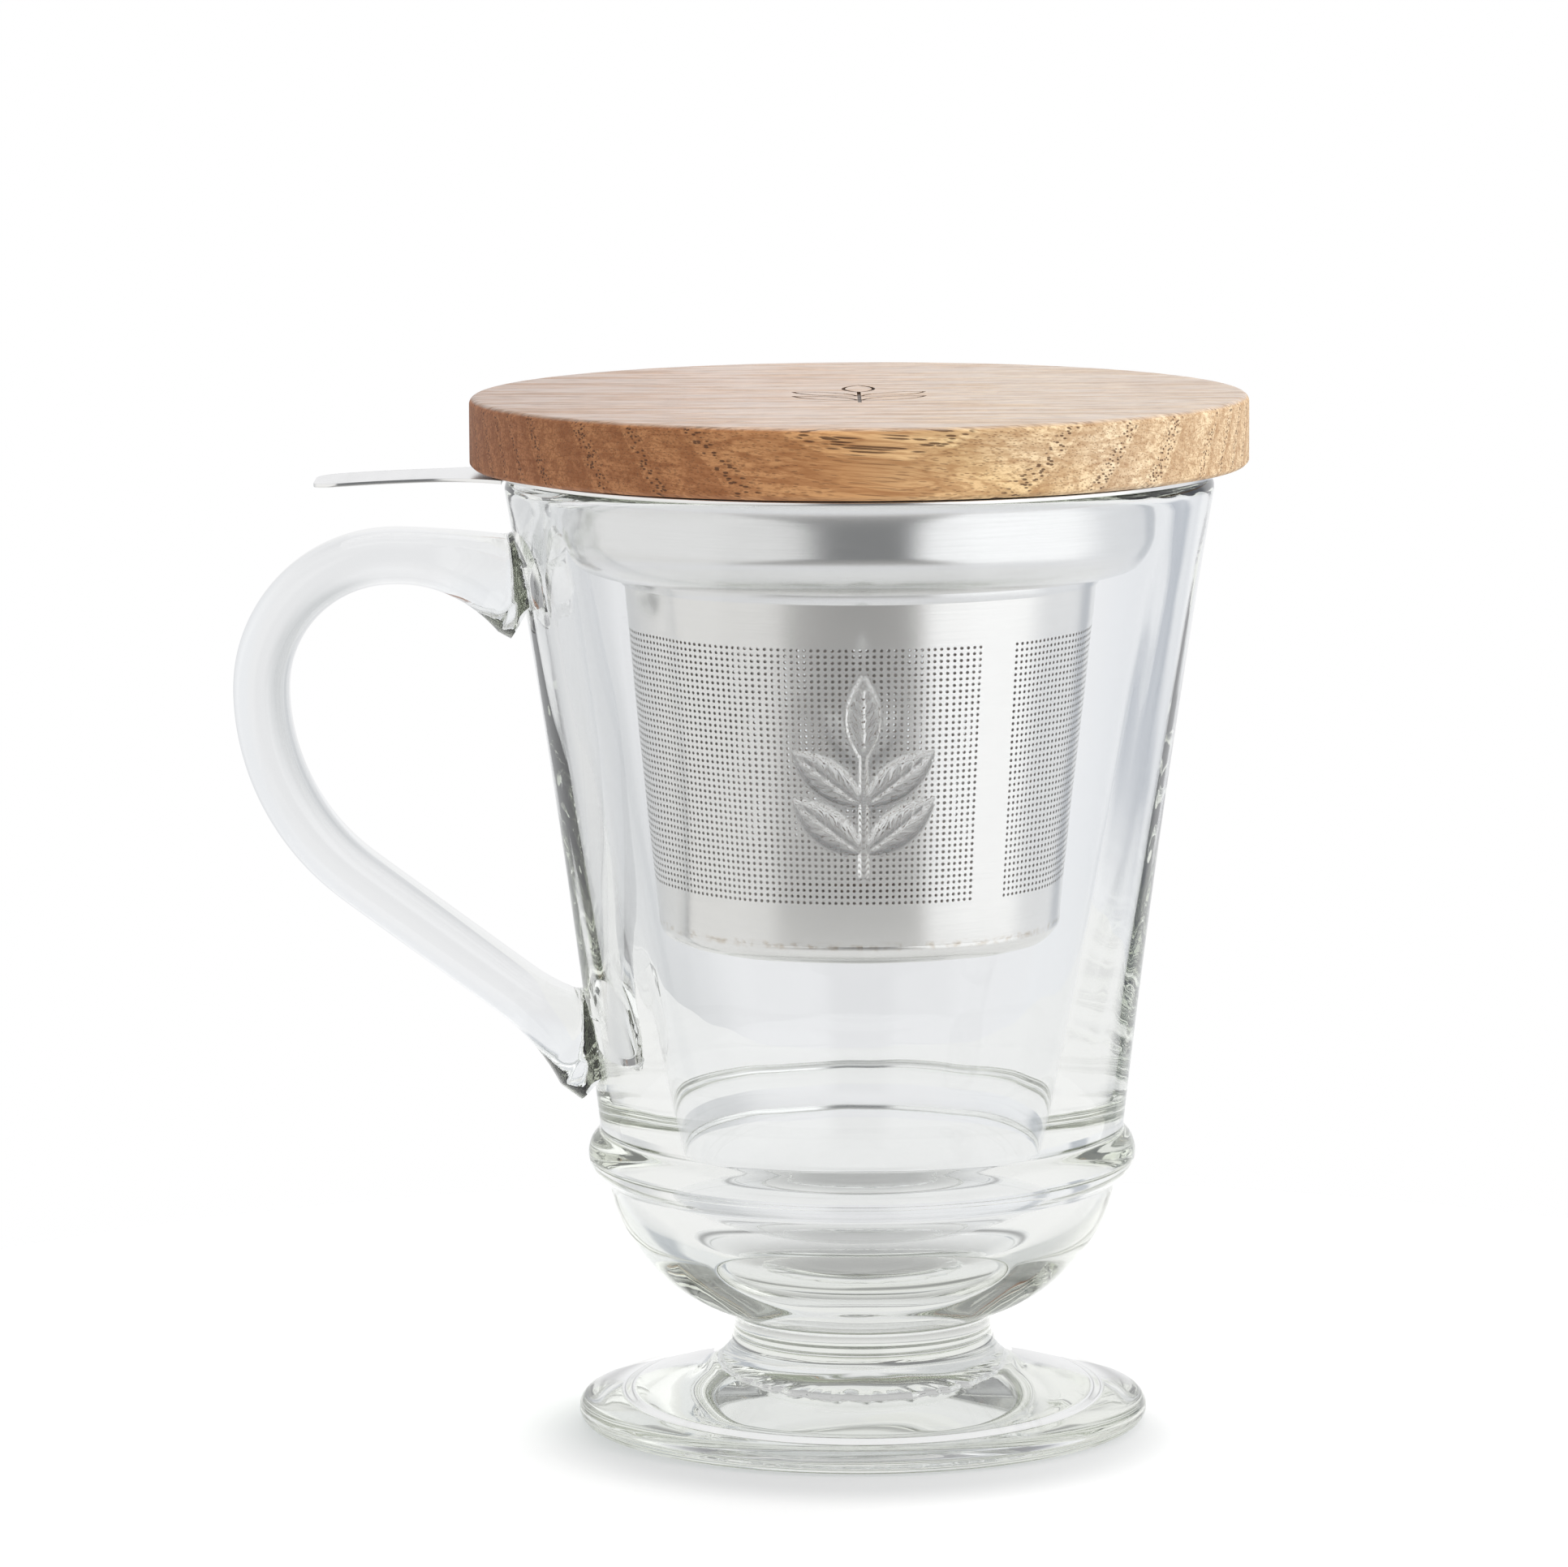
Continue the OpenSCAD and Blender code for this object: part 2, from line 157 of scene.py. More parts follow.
# Foot
EDGE_C = FOOT_R - FOOT_EDGE
EDGE_TOP = (EDGE_C + FOOT_EDGE * sind(FOOT_SLOPE), FOOT_EDGE * (1 + cosd(FOOT_SLOPE)))
FILLET_TURN = 90 - FOOT_SLOPE
FILLET_C = NECK_R + NECK_FILLET
FILLET_END_R = FILLET_C - NECK_FILLET * cosd(FILLET_TURN)
FILLET_END_Z = EDGE_TOP[1] + (EDGE_TOP[0] - FILLET_END_R) * math.tan(math.radians(FOOT_SLOPE))
FILLET_TOP_Z = FILLET_END_Z + NECK_FILLET * sind(FILLET_TURN)
NECK_Z = FILLET_TOP_Z + NECK_H
REST_R = EDGE_C - REST_W

# Bowl
BASE_C = BASE_R - BASE_CURVE
BEAD_Z = NECK_Z + math.sqrt(BASE_CURVE**2 - (NECK_R - BASE_C) ** 2)
BEAD_C = BASE_R + BEAD_PROUD - BEAD_R
CREASE_R = BASE_C + ((BEAD_C - BASE_C) ** 2 + BASE_CURVE**2 - BEAD_R**2) / (2 * (BEAD_C - BASE_C))
CREASE_DROP = math.sqrt(BASE_CURVE**2 - (CREASE_R - BASE_C) ** 2)
WAIST_R = BASE_R + WAIST_STEP
WALL_Z = BEAD_Z + math.sqrt(BEAD_R**2 - (WAIST_R - BEAD_C) ** 2)
FLOOR_Z = BEAD_Z + FLOOR_RISE
MOUTH_R = RIM_R - RIM_WALL
RIM_Z = GLASS_H - RIM_ROUND

# Infuser
RIM_TOP = GLASS_H + RIM_SHEET
FLANGE_R = RIM_R + FLANGE_LIP
COLLAR_R = MOUTH_R - COLLAR_GAP
SHOULDER_Z = RIM_TOP - COLLAR_H
LIP_Z = SHOULDER_Z - LIP_H
BASKET_Z = GLASS_H - BASKET_H
JOINT_Z = BASKET_Z + BASE_H

# Lid
LID_Z = RIM_TOP + SEAL_T
LID_TOP = LID_Z + LID_T
LID_R = FLANGE_R + LID_OVERHANG
SEAL_R = FLANGE_R - SEAL_INSET
SPIGOT_R = COLLAR_R - RIM_SHEET - SEAL_CLEAR - RIB_PROUD - SEAL_WALL
SPIGOT_Z = LID_Z - SPIGOT_H
RIB_Z = (SPIGOT_Z + KEEPER_H + RIM_TOP) / 2


def bowed(low, high, bow, t):
    """A straight taper from low to high that bows out by bow half way up."""
    return low + (high - low) * t + bow * 4 * t * (1 - t)


def outer_r(z):
    return bowed(WAIST_R, RIM_R, -OUTER_BOW, (z - WALL_Z) / (GLASS_H - WALL_Z))


def inner_r(z):
    return bowed(FLOOR_R, MOUTH_R, INNER_BOW, (z - FLOOR_Z) / (GLASS_H - FLOOR_Z))


def sleeve_r(z):
    return SLEEVE_LOW_R + (SLEEVE_TOP_R - SLEEVE_LOW_R) * (z - JOINT_Z) / (SHOULDER_Z - JOINT_Z)


# ==== Outlines and meshes ====
def arc(centre, radius, start, end, steps):
    """Points of a circle's arc about centre, from angle start to angle end."""
    turns = np.radians(np.linspace(start, end, steps + 1))
    return [(centre[0] + radius * math.cos(t), centre[1] + radius * math.sin(t)) for t in turns]


def softened(outline, reach, step=0.04):
    """The outline in short even steps, with its corners rounded over about reach."""
    p = np.array(outline, float)
    run = np.concatenate([[0], np.cumsum(np.hypot(*np.diff(p, axis=0).T))])
    keep = np.concatenate([[True], np.diff(run) > 1e-9])
    p, run = p[keep], run[keep]
    at = np.linspace(0, run[-1], int(run[-1] / step) + 1)
    fine = np.stack([np.interp(at, run, p[:, k]) for k in (0, 1)], 1)
    half = int(3 * reach / step)
    weights = np.exp(-0.5 * (np.arange(-half, half + 1) * step / reach) ** 2)
    weights /= weights.sum()
    # Past its ends the outline goes on as its own mirror image through the end.
    ends = [2 * fine[0] - fine[half:0:-1], fine, 2 * fine[-1] - fine[-2:-half - 2:-1]]
    long = np.concatenate(ends)
    return np.stack([np.convolve(long[:, k], weights, "valid") for k in (0, 1)], 1)


def thinned(fine, turn, longest, dense=None, spacing=None):
    """Picks points of a fine outline: one for each turn in degrees and each longest
    stretch, and one for each spacing where dense says so."""
    d = np.diff(fine, axis=0)
    length = np.hypot(*d.T)
    heading = np.unwrap(np.arctan2(d[:, 1], d[:, 0]))
    bend = np.abs(np.gradient(heading))
    rate = np.degrees(bend) / turn + length / longest
    if dense is not None:
        middle = (fine[1:] + fine[:-1]) / 2
        rate = np.where(dense(middle), np.maximum(rate, length / spacing), rate)
    total = np.concatenate([[0], np.cumsum(rate)])
    count = max(2, math.ceil(total[-1]))
    at = np.interp(np.linspace(0, total[-1], count + 1), total, np.arange(len(fine)))
    return np.stack([np.interp(at, np.arange(len(fine)), fine[:, k]) for k in (0, 1)], 1)


def around(r, turn, z):
    """The point at radius r and height z, turned from the front, -Y, towards +X."""
    return np.stack([r * np.sin(turn), -r * np.cos(turn), z + 0 * r], -1)


def make_object(name, verts, faces):
    """An object from points in millimetres."""
    mesh = bpy.data.meshes.new(name)
    mesh.from_pydata((np.asarray(verts) * MM).tolist(), [], faces)
    mesh.validate()
    piece = bpy.data.objects.new(name, mesh)
    bpy.context.scene.collection.objects.link(piece)
    return piece


def smoothen(piece, angle):
    """Shades smooth, with a crisp line where two faces meet at more than angle degrees."""
    mesh = piece.data
    mesh.shade_smooth()
    mesh.set_sharp_from_angle(angle=math.radians(angle))


def tidy_mesh(piece, gap=1e-6):
    """Merges doubles and turns all faces outwards."""
    work = bmesh.new()
    work.from_mesh(piece.data)
    bmesh.ops.remove_doubles(work, verts=work.verts, dist=gap)
    bmesh.ops.recalc_face_normals(work, faces=work.faces)
    work.to_mesh(piece.data)
    work.free()


def lathe(outline, turns):
    """Points and faces of an outline turned about the axis, where it may start or end."""
    verts, rows, faces = [], [], []
    for r, z in outline:
        start = len(verts)
        if r < 1e-6:
            verts.append((0.0, 0.0, z))
            rows.append([start] * len(turns))
            continue
        verts.extend(around(np.full(len(turns), r), turns, z).tolist())
        rows.append(list(range(start, start + len(turns))))
    for a, b in zip(rows, rows[1:]):
        for k in range(len(turns)):
            n = (k + 1) % len(turns)
            ring = [a[k], a[n], b[n], b[k]]
            ring = [v for i, v in enumerate(ring) if v not in ring[:i]]
            if len(ring) > 2:
                faces.append(ring)
    return verts, faces


def full_circle(count):
    return np.radians(np.arange(count) * 360.0 / count)


def turned_solid(name, outline, columns, crisp=None):
    """A closed solid from an outline turned about the axis, smooth up to crisp degrees."""
    piece = make_object(name, *lathe(outline, full_circle(columns)))
    tidy_mesh(piece)
    if crisp is not None:
        smoothen(piece, crisp)
    return piece


def apply_modifiers(piece):
    """Turns the evaluated object into a plain mesh without modifiers."""
    graph = bpy.context.evaluated_depsgraph_get()
    graph.update()
    mesh = bpy.data.meshes.new_from_object(piece.evaluated_get(graph), depsgraph=graph)
    piece.modifiers.clear()
    old = piece.data
    piece.data = mesh
    bpy.data.meshes.remove(old)
    mesh.name = piece.name


def combine(piece, other, operation):
    """A boolean of two closed meshes. The other one is used up."""
    step = piece.modifiers.new(operation, "BOOLEAN")
    step.operation = operation
    step.solver = "MANIFOLD"
    step.object = other
    apply_modifiers(piece)
    bpy.data.objects.remove(other)


# ==== Node trees ====
class Wire:
    """A socket in a node tree. Maths on it adds Math nodes."""

    def __init__(self, net, socket):
        self.net = net
        self.socket = socket

    def maths(self, operation, *others):
        inputs = dict(enumerate((self, *others)))
        return self.net.node("ShaderNodeMath", {"operation": operation}, inputs)

    def __add__(self, other):
        return self.maths("ADD", other)

    def __sub__(self, other):
        return self.maths("SUBTRACT", other)

    def __mul__(self, other):
        return self.maths("MULTIPLY", other)

    def __truediv__(self, other):
        return self.maths("DIVIDE", other)

    def __pow__(self, other):
        return self.maths("POWER", other)

    def __rsub__(self, other):
        return (self * -1.0) + other

    def __rtruediv__(self, other):
        return self.maths("POWER", -1.0) * other

    __radd__ = __add__
    __rmul__ = __mul__

    def at_least(self, other):
        return self.maths("MAXIMUM", other)

    def size(self):
        return self.maths("ABSOLUTE")

    def fraction(self):
        return self.maths("FRACT")

    def step(self, low, high):
        """0 below low, 1 above high, and smooth between them. High may be the smaller."""
        if low > high:
            return 1.0 - self.step(high, low)
        settings = {"interpolation_type": "SMOOTHSTEP", "clamp": True}
        return self.net.node("ShaderNodeMapRange", settings, {0: self, 1: low, 2: high})

    def bump_at(self, centre, width):
        """1 at centre, falling smoothly to 0 at width to each side."""
        return (self - centre).size().step(width, 0.0)


class Net:
    """A node tree that is being built."""

    def __init__(self, tree):
        self.tree = tree
        tree.nodes.clear()

    def node(self, kind, settings=None, sockets=None, out=0):
        """Adds a node: its settings first, then the values or links of its sockets.
        The setting "stops" holds the colours of a ramp. Gives the output out."""
        made = self.tree.nodes.new(kind)
        for name, value in (settings or {}).items():
            if name == "stops":
                ramp = made.color_ramp
                while len(ramp.elements) < len(value):
                    ramp.elements.new(0.5)
                for element, (place, colour) in zip(ramp.elements, value):
                    element.position = place
                    element.color = (*colour, 1.0) if len(colour) == 3 else colour
            else:
                setattr(made, name, value)
        for name, value in (sockets or {}).items():
            self.plug(made.inputs[name], value)
        if out is None:
            return made
        return Wire(self, made.outputs[out])

    def plug(self, socket, value):
        if isinstance(value, Wire):
            self.tree.links.new(value.socket, socket)
        elif isinstance(value, list):
            for one in value:
                self.plug(socket, one)
        else:
            socket.default_value = value

    def point(self):
        """Object coordinates in millimetres."""
        place = self.node("ShaderNodeTexCoord", out="Object")
        return self.node("ShaderNodeMapping", {"vector_type": "POINT"},
                         {"Vector": place, "Scale": (1 / MM, 1 / MM, 1 / MM)})

    def axes(self, vector):
        split = self.node("ShaderNodeSeparateXYZ", None, {0: vector}, out=None)
        return [Wire(self, split.outputs[k]) for k in range(3)]

    def joined(self, x, y, z):
        return self.node("ShaderNodeCombineXYZ", None, {0: x, 1: y, 2: z})

    def noise(self, vector, scale=1.0, detail=2.0, rough=0.5):
        return self.node("ShaderNodeTexNoise", None, {
            "Vector": vector, "Scale": scale, "Detail": detail, "Roughness": rough})

    def noise_at(self, x, y, z, detail=3.0, rough=0.6):
        """Noise on scaled coordinates, so that it can be long in one direction."""
        return self.noise(self.joined(x, y, z), 1.0, detail, rough)

    def mix(self, factor, a, b, blend="MIX"):
        """Mixes two colours."""
        settings = {"data_type": "RGBA", "blend_type": blend, "clamp_factor": True}
        made = self.node("ShaderNodeMix", settings, None, out=None)
        for index, value in ((0, factor), (6, a), (7, b)):
            if not isinstance(value, (Wire, float, int)):
                value = (*value, 1.0)
            self.plug(made.inputs[index], value)
        return Wire(self, made.outputs[2])

    def ramp(self, factor, stops):
        return self.node("ShaderNodeValToRGB", {"stops": stops}, {0: factor})

    def bump(self, height, depth, strength):
        """Height is from 0 to 1, and depth is its size in millimetres."""
        return self.node("ShaderNodeBump", None, {
            "Height": height, "Distance": depth * MM, "Strength": strength})


class Finish(Net):
    """A material that is being made."""

    def __init__(self, name):
        self.material = bpy.data.materials.new(name)
        self.material.use_nodes = True
        super().__init__(self.material.node_tree)

    def principled(self, **sockets):
        """The Principled shader; spaces in its sockets' names are written as _."""
        named = {name.replace("_", " "): value for name, value in sockets.items()}
        for name, value in named.items():
            if isinstance(value, tuple) and len(value) == 3:
                named[name] = (*value, 1.0)
        return self.node("ShaderNodeBsdfPrincipled", None, named)

    def done(self, surface, volume=None):
        sockets = {"Surface": surface}
        if volume is not None:
            sockets["Volume"] = volume
        self.node("ShaderNodeOutputMaterial", None, sockets, out=None)
        return self.material


def paint(piece, material):
    piece.data.materials.clear()
    piece.data.materials.append(material)


# ==== Camera ====
FRAME_W = 1932       # width of the render in pixels
FOCAL = 10136        # focal length in the same pixels
SENSOR = 36.0
CAMERA_AWAY = 1105
CAMERA_HIGH = 235.7
CAMERA_DOWN = 7.64   # degrees below level
CAMERA_ROLL = 0.3    # degrees
AXIS_RIGHT = 95      # from the middle of the render to the mug's axis, in pixels


def make_camera():
    data = bpy.data.cameras.new("camera")
    data.sensor_fit = "HORIZONTAL"
    data.sensor_width = SENSOR
    data.lens = FOCAL * SENSOR / FRAME_W
    data.clip_start = 0.05
    data.clip_end = 50
    camera = bpy.data.objects.new("camera", data)
    bpy.context.scene.collection.objects.link(camera)
    # A small shift of the camera to -X puts the mug's axis to the right of the middle.
    aside = math.atan2(AXIS_RIGHT, FOCAL)
    down = Matrix.Rotation(math.radians(90 - CAMERA_DOWN), 4, "X")
    roll = Matrix.Rotation(math.radians(-CAMERA_ROLL), 4, "Z")
    left = -CAMERA_AWAY * math.tan(aside)
    place = Matrix.Translation(Vector((left, -CAMERA_AWAY, CAMERA_HIGH)) * MM)
    camera.matrix_world = place @ down @ roll
    bpy.context.scene.camera = camera


# ==== Studio ====
FLOOR_SIZE = 180     # radius of the floor
FLOOR_SIDES = 96
FLOOR_GAP = 0.1
SHADE_AHEAD = 10.0   # how far the shade round the foot is moved to the front
SHADE_R = 50.0
SHADE_BLUR = 16.0
BOUNCES = 24


def make_studio():
    scene = bpy.context.scene
    scene.view_settings.view_transform = "Standard"
    # Thick glass turns light round inside many times before it lets it out.
    scene.cycles.max_bounces = BOUNCES
    scene.cycles.glossy_bounces = BOUNCES
    scene.cycles.transmission_bounces = BOUNCES

    world = bpy.data.worlds.new("studio")
    world.use_nodes = True
    scene.world = world
    net = Net(world.node_tree)
    rays = net.node("ShaderNodeLightPath", out=None)
    ray = {name: Wire(net, rays.outputs[name]) for name in
           ("Is Camera Ray", "Is Glossy Ray", "Is Transmission Ray")}
    x, y, z = net.axes(net.node("ShaderNodeTexCoord", out="Generated"))
    turn = x.maths("ARCTAN2", y * -1.0) * (180 / math.pi)
    # What glass and steel show: a white backdrop and table, a dark ceiling, a soft box
    # to each side of the camera with a gap between them that is wider low down, and a
    # narrower gap at the back, to the right.
    widen = (-0.13 - z).at_least(0.0)
    left_box = (turn + widen * 130.0).step(-9.0, -22.0)
    right_box = (turn - widen * 70.0).step(13.0, 26.0)
    right_gap = turn.step(130.0, 137.0) * turn.step(153.0, 146.0) * z.step(-0.4, -0.3)
    backdrop = turn.size().step(164.0, 176.0)
    low = widen * 5.0
    gap = net.mix(low, (0.18, 0.185, 0.19), (0.42, 0.41, 0.395))
    box = net.mix(low, (1.0, 0.995, 0.985), (0.92, 0.91, 0.89))
    room = net.mix(left_box, gap, box)
    room = net.mix(turn.step(-112.0, -150.0), room, (0.7, 0.71, 0.72))
    room = net.mix(right_box, room, (1.3, 1.3, 1.3))
    room = net.mix(turn.step(84.0, 106.0), room, (0.92, 0.93, 0.95))
    room = net.mix(right_gap, room, (0.5, 0.53, 0.58))
    room = net.mix(backdrop, room, (0.92, 0.92, 0.93))
    table = z.step(-0.36, -0.5)
    room = net.mix(table, room, (0.95, 0.95, 0.96))
    ceiling = z.step(0.38, 0.8)
    dim = net.mix(ray["Is Glossy Ray"], (0.05, 0.05, 0.055), (0.26, 0.26, 0.27))
    room = net.mix(ceiling, room, dim)
    seen = net.node("ShaderNodeBackground", None, {"Color": room, "Strength": 1.0})
    plain = net.node("ShaderNodeBackground", None,
                     {"Color": (1.0, 1.0, 1.0, 1.0), "Strength": x * 0.14 + 0.47})
    white = net.node("ShaderNodeBackground", None,
                     {"Color": (1.0, 1.0, 1.0, 1.0), "Strength": 1.0})
    shining = ray["Is Glossy Ray"].at_least(ray["Is Transmission Ray"])
    mixed = net.node("ShaderNodeMixShader", None, {0: shining, 1: plain, 2: seen})
    mixed = net.node("ShaderNodeMixShader", None, {0: ray["Is Camera Ray"], 1: mixed, 2: white})
    net.node("ShaderNodeOutputWorld", None, {"Surface": mixed}, out=None)

    def lamp(name, turn_deg, high, away, width, height, power):
        data = bpy.data.lights.new(name, "AREA")
        data.shape = "RECTANGLE"
        data.size = width
        data.size_y = height
        data.energy = power
        light = bpy.data.objects.new(name, data)
        scene.collection.objects.link(light)
        turn_rad = math.radians(turn_deg)
        spot = Vector((math.sin(turn_rad) * away, -math.cos(turn_rad) * away, high))
        light.location = spot
        aim = Vector((0, 0, 0.08)) - spot
        light.rotation_mode = "QUATERNION"
        light.rotation_quaternion = aim.to_track_quat("-Z", "Y")
        light.visible_glossy = False
        light.visible_transmission = False

    lamp("lamp_right", 62, 0.75, 1.25, 0.7, 0.9, 17.0)
    lamp("lamp_left", -60, 0.7, 1.3, 0.6, 0.9, 3.0)
    lamp("lamp_over", 170, 1.5, 0.5, 1.0, 0.8, 12.0)

    floor = Finish("pale_floor")
    fx, fy, _ = floor.axes(floor.point())
    away = (fx * fx + fy * fy) ** 0.5
    # The shade falls forwards, because most of the light comes from behind.
    ahead = fy + SHADE_AHEAD
    near = ((fx * fx + ahead * ahead) ** 0.5).step(SHADE_R, SHADE_R - SHADE_BLUR)
    pale = floor.mix(near, (0.68, 0.68, 0.675), (0.46, 0.465, 0.465))
    plain = floor.node("ShaderNodeBsdfDiffuse", None, {"Color": pale})
    glow = floor.node("ShaderNodeEmission", None,
                      {"Color": (1.0, 1.0, 1.0, 1.0), "Strength": 0.4 - near * 0.07})
    both = floor.node("ShaderNodeAddShader", None, {0: plain, 1: glow})
    # Through the glass the floor is as white as the backdrop, but for the foot's own shade.
    through = floor.node("ShaderNodeLightPath", out="Is Transmission Ray")
    level = away.step(8.0, 32.0) * 0.47 + 0.49 - away.bump_at(35.0, 3.0) * 0.6
    behind = floor.node("ShaderNodeEmission", None,
                        {"Color": (0.99, 0.99, 0.98, 1.0), "Strength": level})
    floor.done(floor.node("ShaderNodeMixShader", None, {0: through, 1: both, 2: behind}))
    ring = around(np.full(FLOOR_SIDES, FLOOR_SIZE), full_circle(FLOOR_SIDES), -FLOOR_GAP)
    ground = make_object("floor", ring, [list(range(FLOOR_SIDES))])
    paint(ground, floor.material)


# ==== Glass mug ====
def glass_outline():
    """From the middle of the underside out, up, over the rim and down to the floor."""
    dome = KICK_H - RECESS_H - KICK_STEP
    underside = [(r, KICK_H - dome * (r / KICK_R) ** 2) for r in np.linspace(0, KICK_R, 30)]
    foot = [(KICK_R, RECESS_H), (REST_R - RECESS_H, RECESS_H), (REST_R, 0)]
    foot += arc((EDGE_C, FOOT_EDGE), FOOT_EDGE, -90, 90 - FOOT_SLOPE, 30)
    foot += arc((FILLET_C, FILLET_TOP_Z), NECK_FILLET, 180 + FILLET_TURN, 180, 30)
    low = math.degrees(math.asin((BEAD_Z - NECK_Z) / BASE_CURVE))
    high = math.degrees(math.asin(CREASE_DROP / BASE_CURVE))
    bowl = arc((BASE_C, BEAD_Z), BASE_CURVE, -low, -high, 40)
    start = math.degrees(math.acos((CREASE_R - BEAD_C) / BEAD_R))
    end = math.degrees(math.acos((WAIST_R - BEAD_C) / BEAD_R))
    bead = arc((BEAD_C, BEAD_Z), BEAD_R, -start, end, 40)
    wall = [(outer_r(z), z) for z in np.linspace(WALL_Z, RIM_Z, 80)[1:]]
    rim = arc((outer_r(RIM_Z) - RIM_ROUND, RIM_Z), RIM_ROUND, 0, 90, 20)
    rim += arc((inner_r(RIM_Z) + RIM_ROUND, RIM_Z), RIM_ROUND, 90, 180, 20)
    inside = [(inner_r(z), z) for z in np.linspace(RIM_Z, FLOOR_Z, 80)]
    power = 2 / FLOOR_POWER
    inside += [(FLOOR_R * cosd(a) ** power, FLOOR_Z - FLOOR_DEPTH * sind(a) ** power)
               for a in np.linspace(0, 90, 61)[1:-1]]
    inside += [(0, FLOOR_Z - FLOOR_DEPTH)]
    return underside + foot + bowl + bead + wall + rim + inside


MIDRIB_DEPTH = 0.4   # depths here are shares of the leaf's height
MIDRIB_W = 0.26
VEIN_DEPTH = 0.16
VEIN_STEP = 1.9      # from vein to vein along the midrib
VEIN_RISE = 1.1      # how far a vein climbs for each millimetre out
VEIN_W = 0.14        # as a share of the step
VEIN_END = 0.85      # as a share of the leaf's half width
STEM_LEVEL = 0.75    # the stem's height as a share of the leaf's
STEM_LAP = 1.5       # how far the stem runs on into the top leaf


def leaf_height(x, z, base, angle):
    """Height of a domed leaf with a sunk midrib, from 0 to 1, and 0 outside it."""
    a = math.radians(angle)
    u = (x - base[0]) * math.cos(a) + (z - base[1]) * math.sin(a)
    v = -(x - base[0]) * math.sin(a) + (z - base[1]) * math.cos(a)
    curve_r = ((LEAF_LEN / 2) ** 2 + (LEAF_W / 2) ** 2) / LEAF_W
    reach = np.clip(curve_r**2 - (v - LEAF_LEN / 2) ** 2, 0, None)
    half = np.clip(np.sqrt(reach) - (curve_r - LEAF_W / 2), 0, None)
    inside = (np.abs(u) < half) & (v > 0) & (v < LEAF_LEN)
    share = np.where(inside, np.abs(u) / np.maximum(half, 1e-6), 1.0)
    dome = (1 - share**3) ** 0.6 * np.clip(half / (LEAF_W / 2), 0, 1) ** 0.4
    rib = MIDRIB_DEPTH * np.exp(-((u / MIDRIB_W) ** 2)) * np.clip(half, 0, 1)
    place = (v - VEIN_RISE * np.abs(u)) / VEIN_STEP
    from_vein = (place - np.round(place)) / VEIN_W
    veins = VEIN_DEPTH * np.exp(-(from_vein**2)) * (share < VEIN_END)
    return np.where(inside, np.clip(dome * (1 - rib - veins), 0, 1), 0.0)


def sprig_height(x, z):
    """Relief of the sprig in millimetres at x and at height z above its middle."""
    stem_len = SPRIG_LEN - LEAF_LEN
    bottom = -SPRIG_LEN / 2
    height = leaf_height(x, z, (0, bottom + stem_len), 0)
    for share in (PAIR_LOW, PAIR_HIGH):
        for side in (-1, 1):
            leaf = leaf_height(x, z, (0, bottom + share * stem_len), side * LEAF_ANGLE)
            height = np.maximum(height, leaf)
    along = (z > bottom) & (z < bottom + stem_len + STEM_LAP)
    stem = np.sqrt(np.clip(1 - (x / (STEM_W / 2)) ** 2, 0, 1)) * STEM_LEVEL
    return SPRIG_RELIEF * np.maximum(height, np.where(along, stem, 0.0))


HANDLE_TOP_Z = GLASS_H - HANDLE_DROP
HANDLE_MID_R = HANDLE_REACH - HANDLE_THICK / 2
CORNER_C = (HANDLE_MID_R - HANDLE_CORNER, HANDLE_TOP_Z - HANDLE_CORNER)
SIDE_C = (HANDLE_MID_R - HANDLE_SIDE, CORNER_C[1])
SIDE_TURN = 90 - HANDLE_LEG_SLOPE
LEG_START = (SIDE_C[0] + HANDLE_SIDE * cosd(SIDE_TURN), SIDE_C[1] - HANDLE_SIDE * sind(SIDE_TURN))
ROOT_C = (CORNER_C[0], HANDLE_TOP_Z - HANDLE_ROOT_CURVE)
ROOT_TURN = math.degrees(math.asin(
    (CORNER_C[0] - outer_r(HANDLE_TOP_Z) + ROOT_EMBED) / HANDLE_ROOT_CURVE))
ROOT_FILLET = 1.6
FILLET_FULL = 0.97   # below 1, so that the fillet doesn't end quite upright
ROOT_NEAR = 4.5      # this near to the wall, the handle's rows lie close
CLOSE_ROW = 0.3
HANDLE_SIDES = 56    # faces round the handle
FARTHEST = 84.742    # reach of the solid handle, whose outer side is faceted


def handle_line():
    """The handle's centre line as points of distance from the axis and height."""
    def leg_z(r):
        return LEG_START[1] - (LEG_START[0] - r) * math.tan(math.radians(HANDLE_LEG_SLOPE))

    # The leg's end is found by repetition, because the wall that it meets is bowed.
    end_z = LEG_START[1]
    for _ in range(12):
        end_z = leg_z(outer_r(end_z) - ROOT_EMBED)
    end = (outer_r(end_z) - ROOT_EMBED, end_z)
    line = arc(ROOT_C, HANDLE_ROOT_CURVE, 90 + ROOT_TURN, 90, 40)
    line += arc(CORNER_C, HANDLE_CORNER, 90, 0, 40)[1:]
    line += arc(SIDE_C, HANDLE_SIDE, 0, -SIDE_TURN, 40)[1:]
    line += [end]
    fine = softened(line, 1.5, 0.1)

    def near_wall(p):
        return p[:, 0] < outer_r(p[:, 1]) + ROOT_NEAR

    return thinned(fine, 3.0, 1.6, near_wall, CLOSE_ROW)


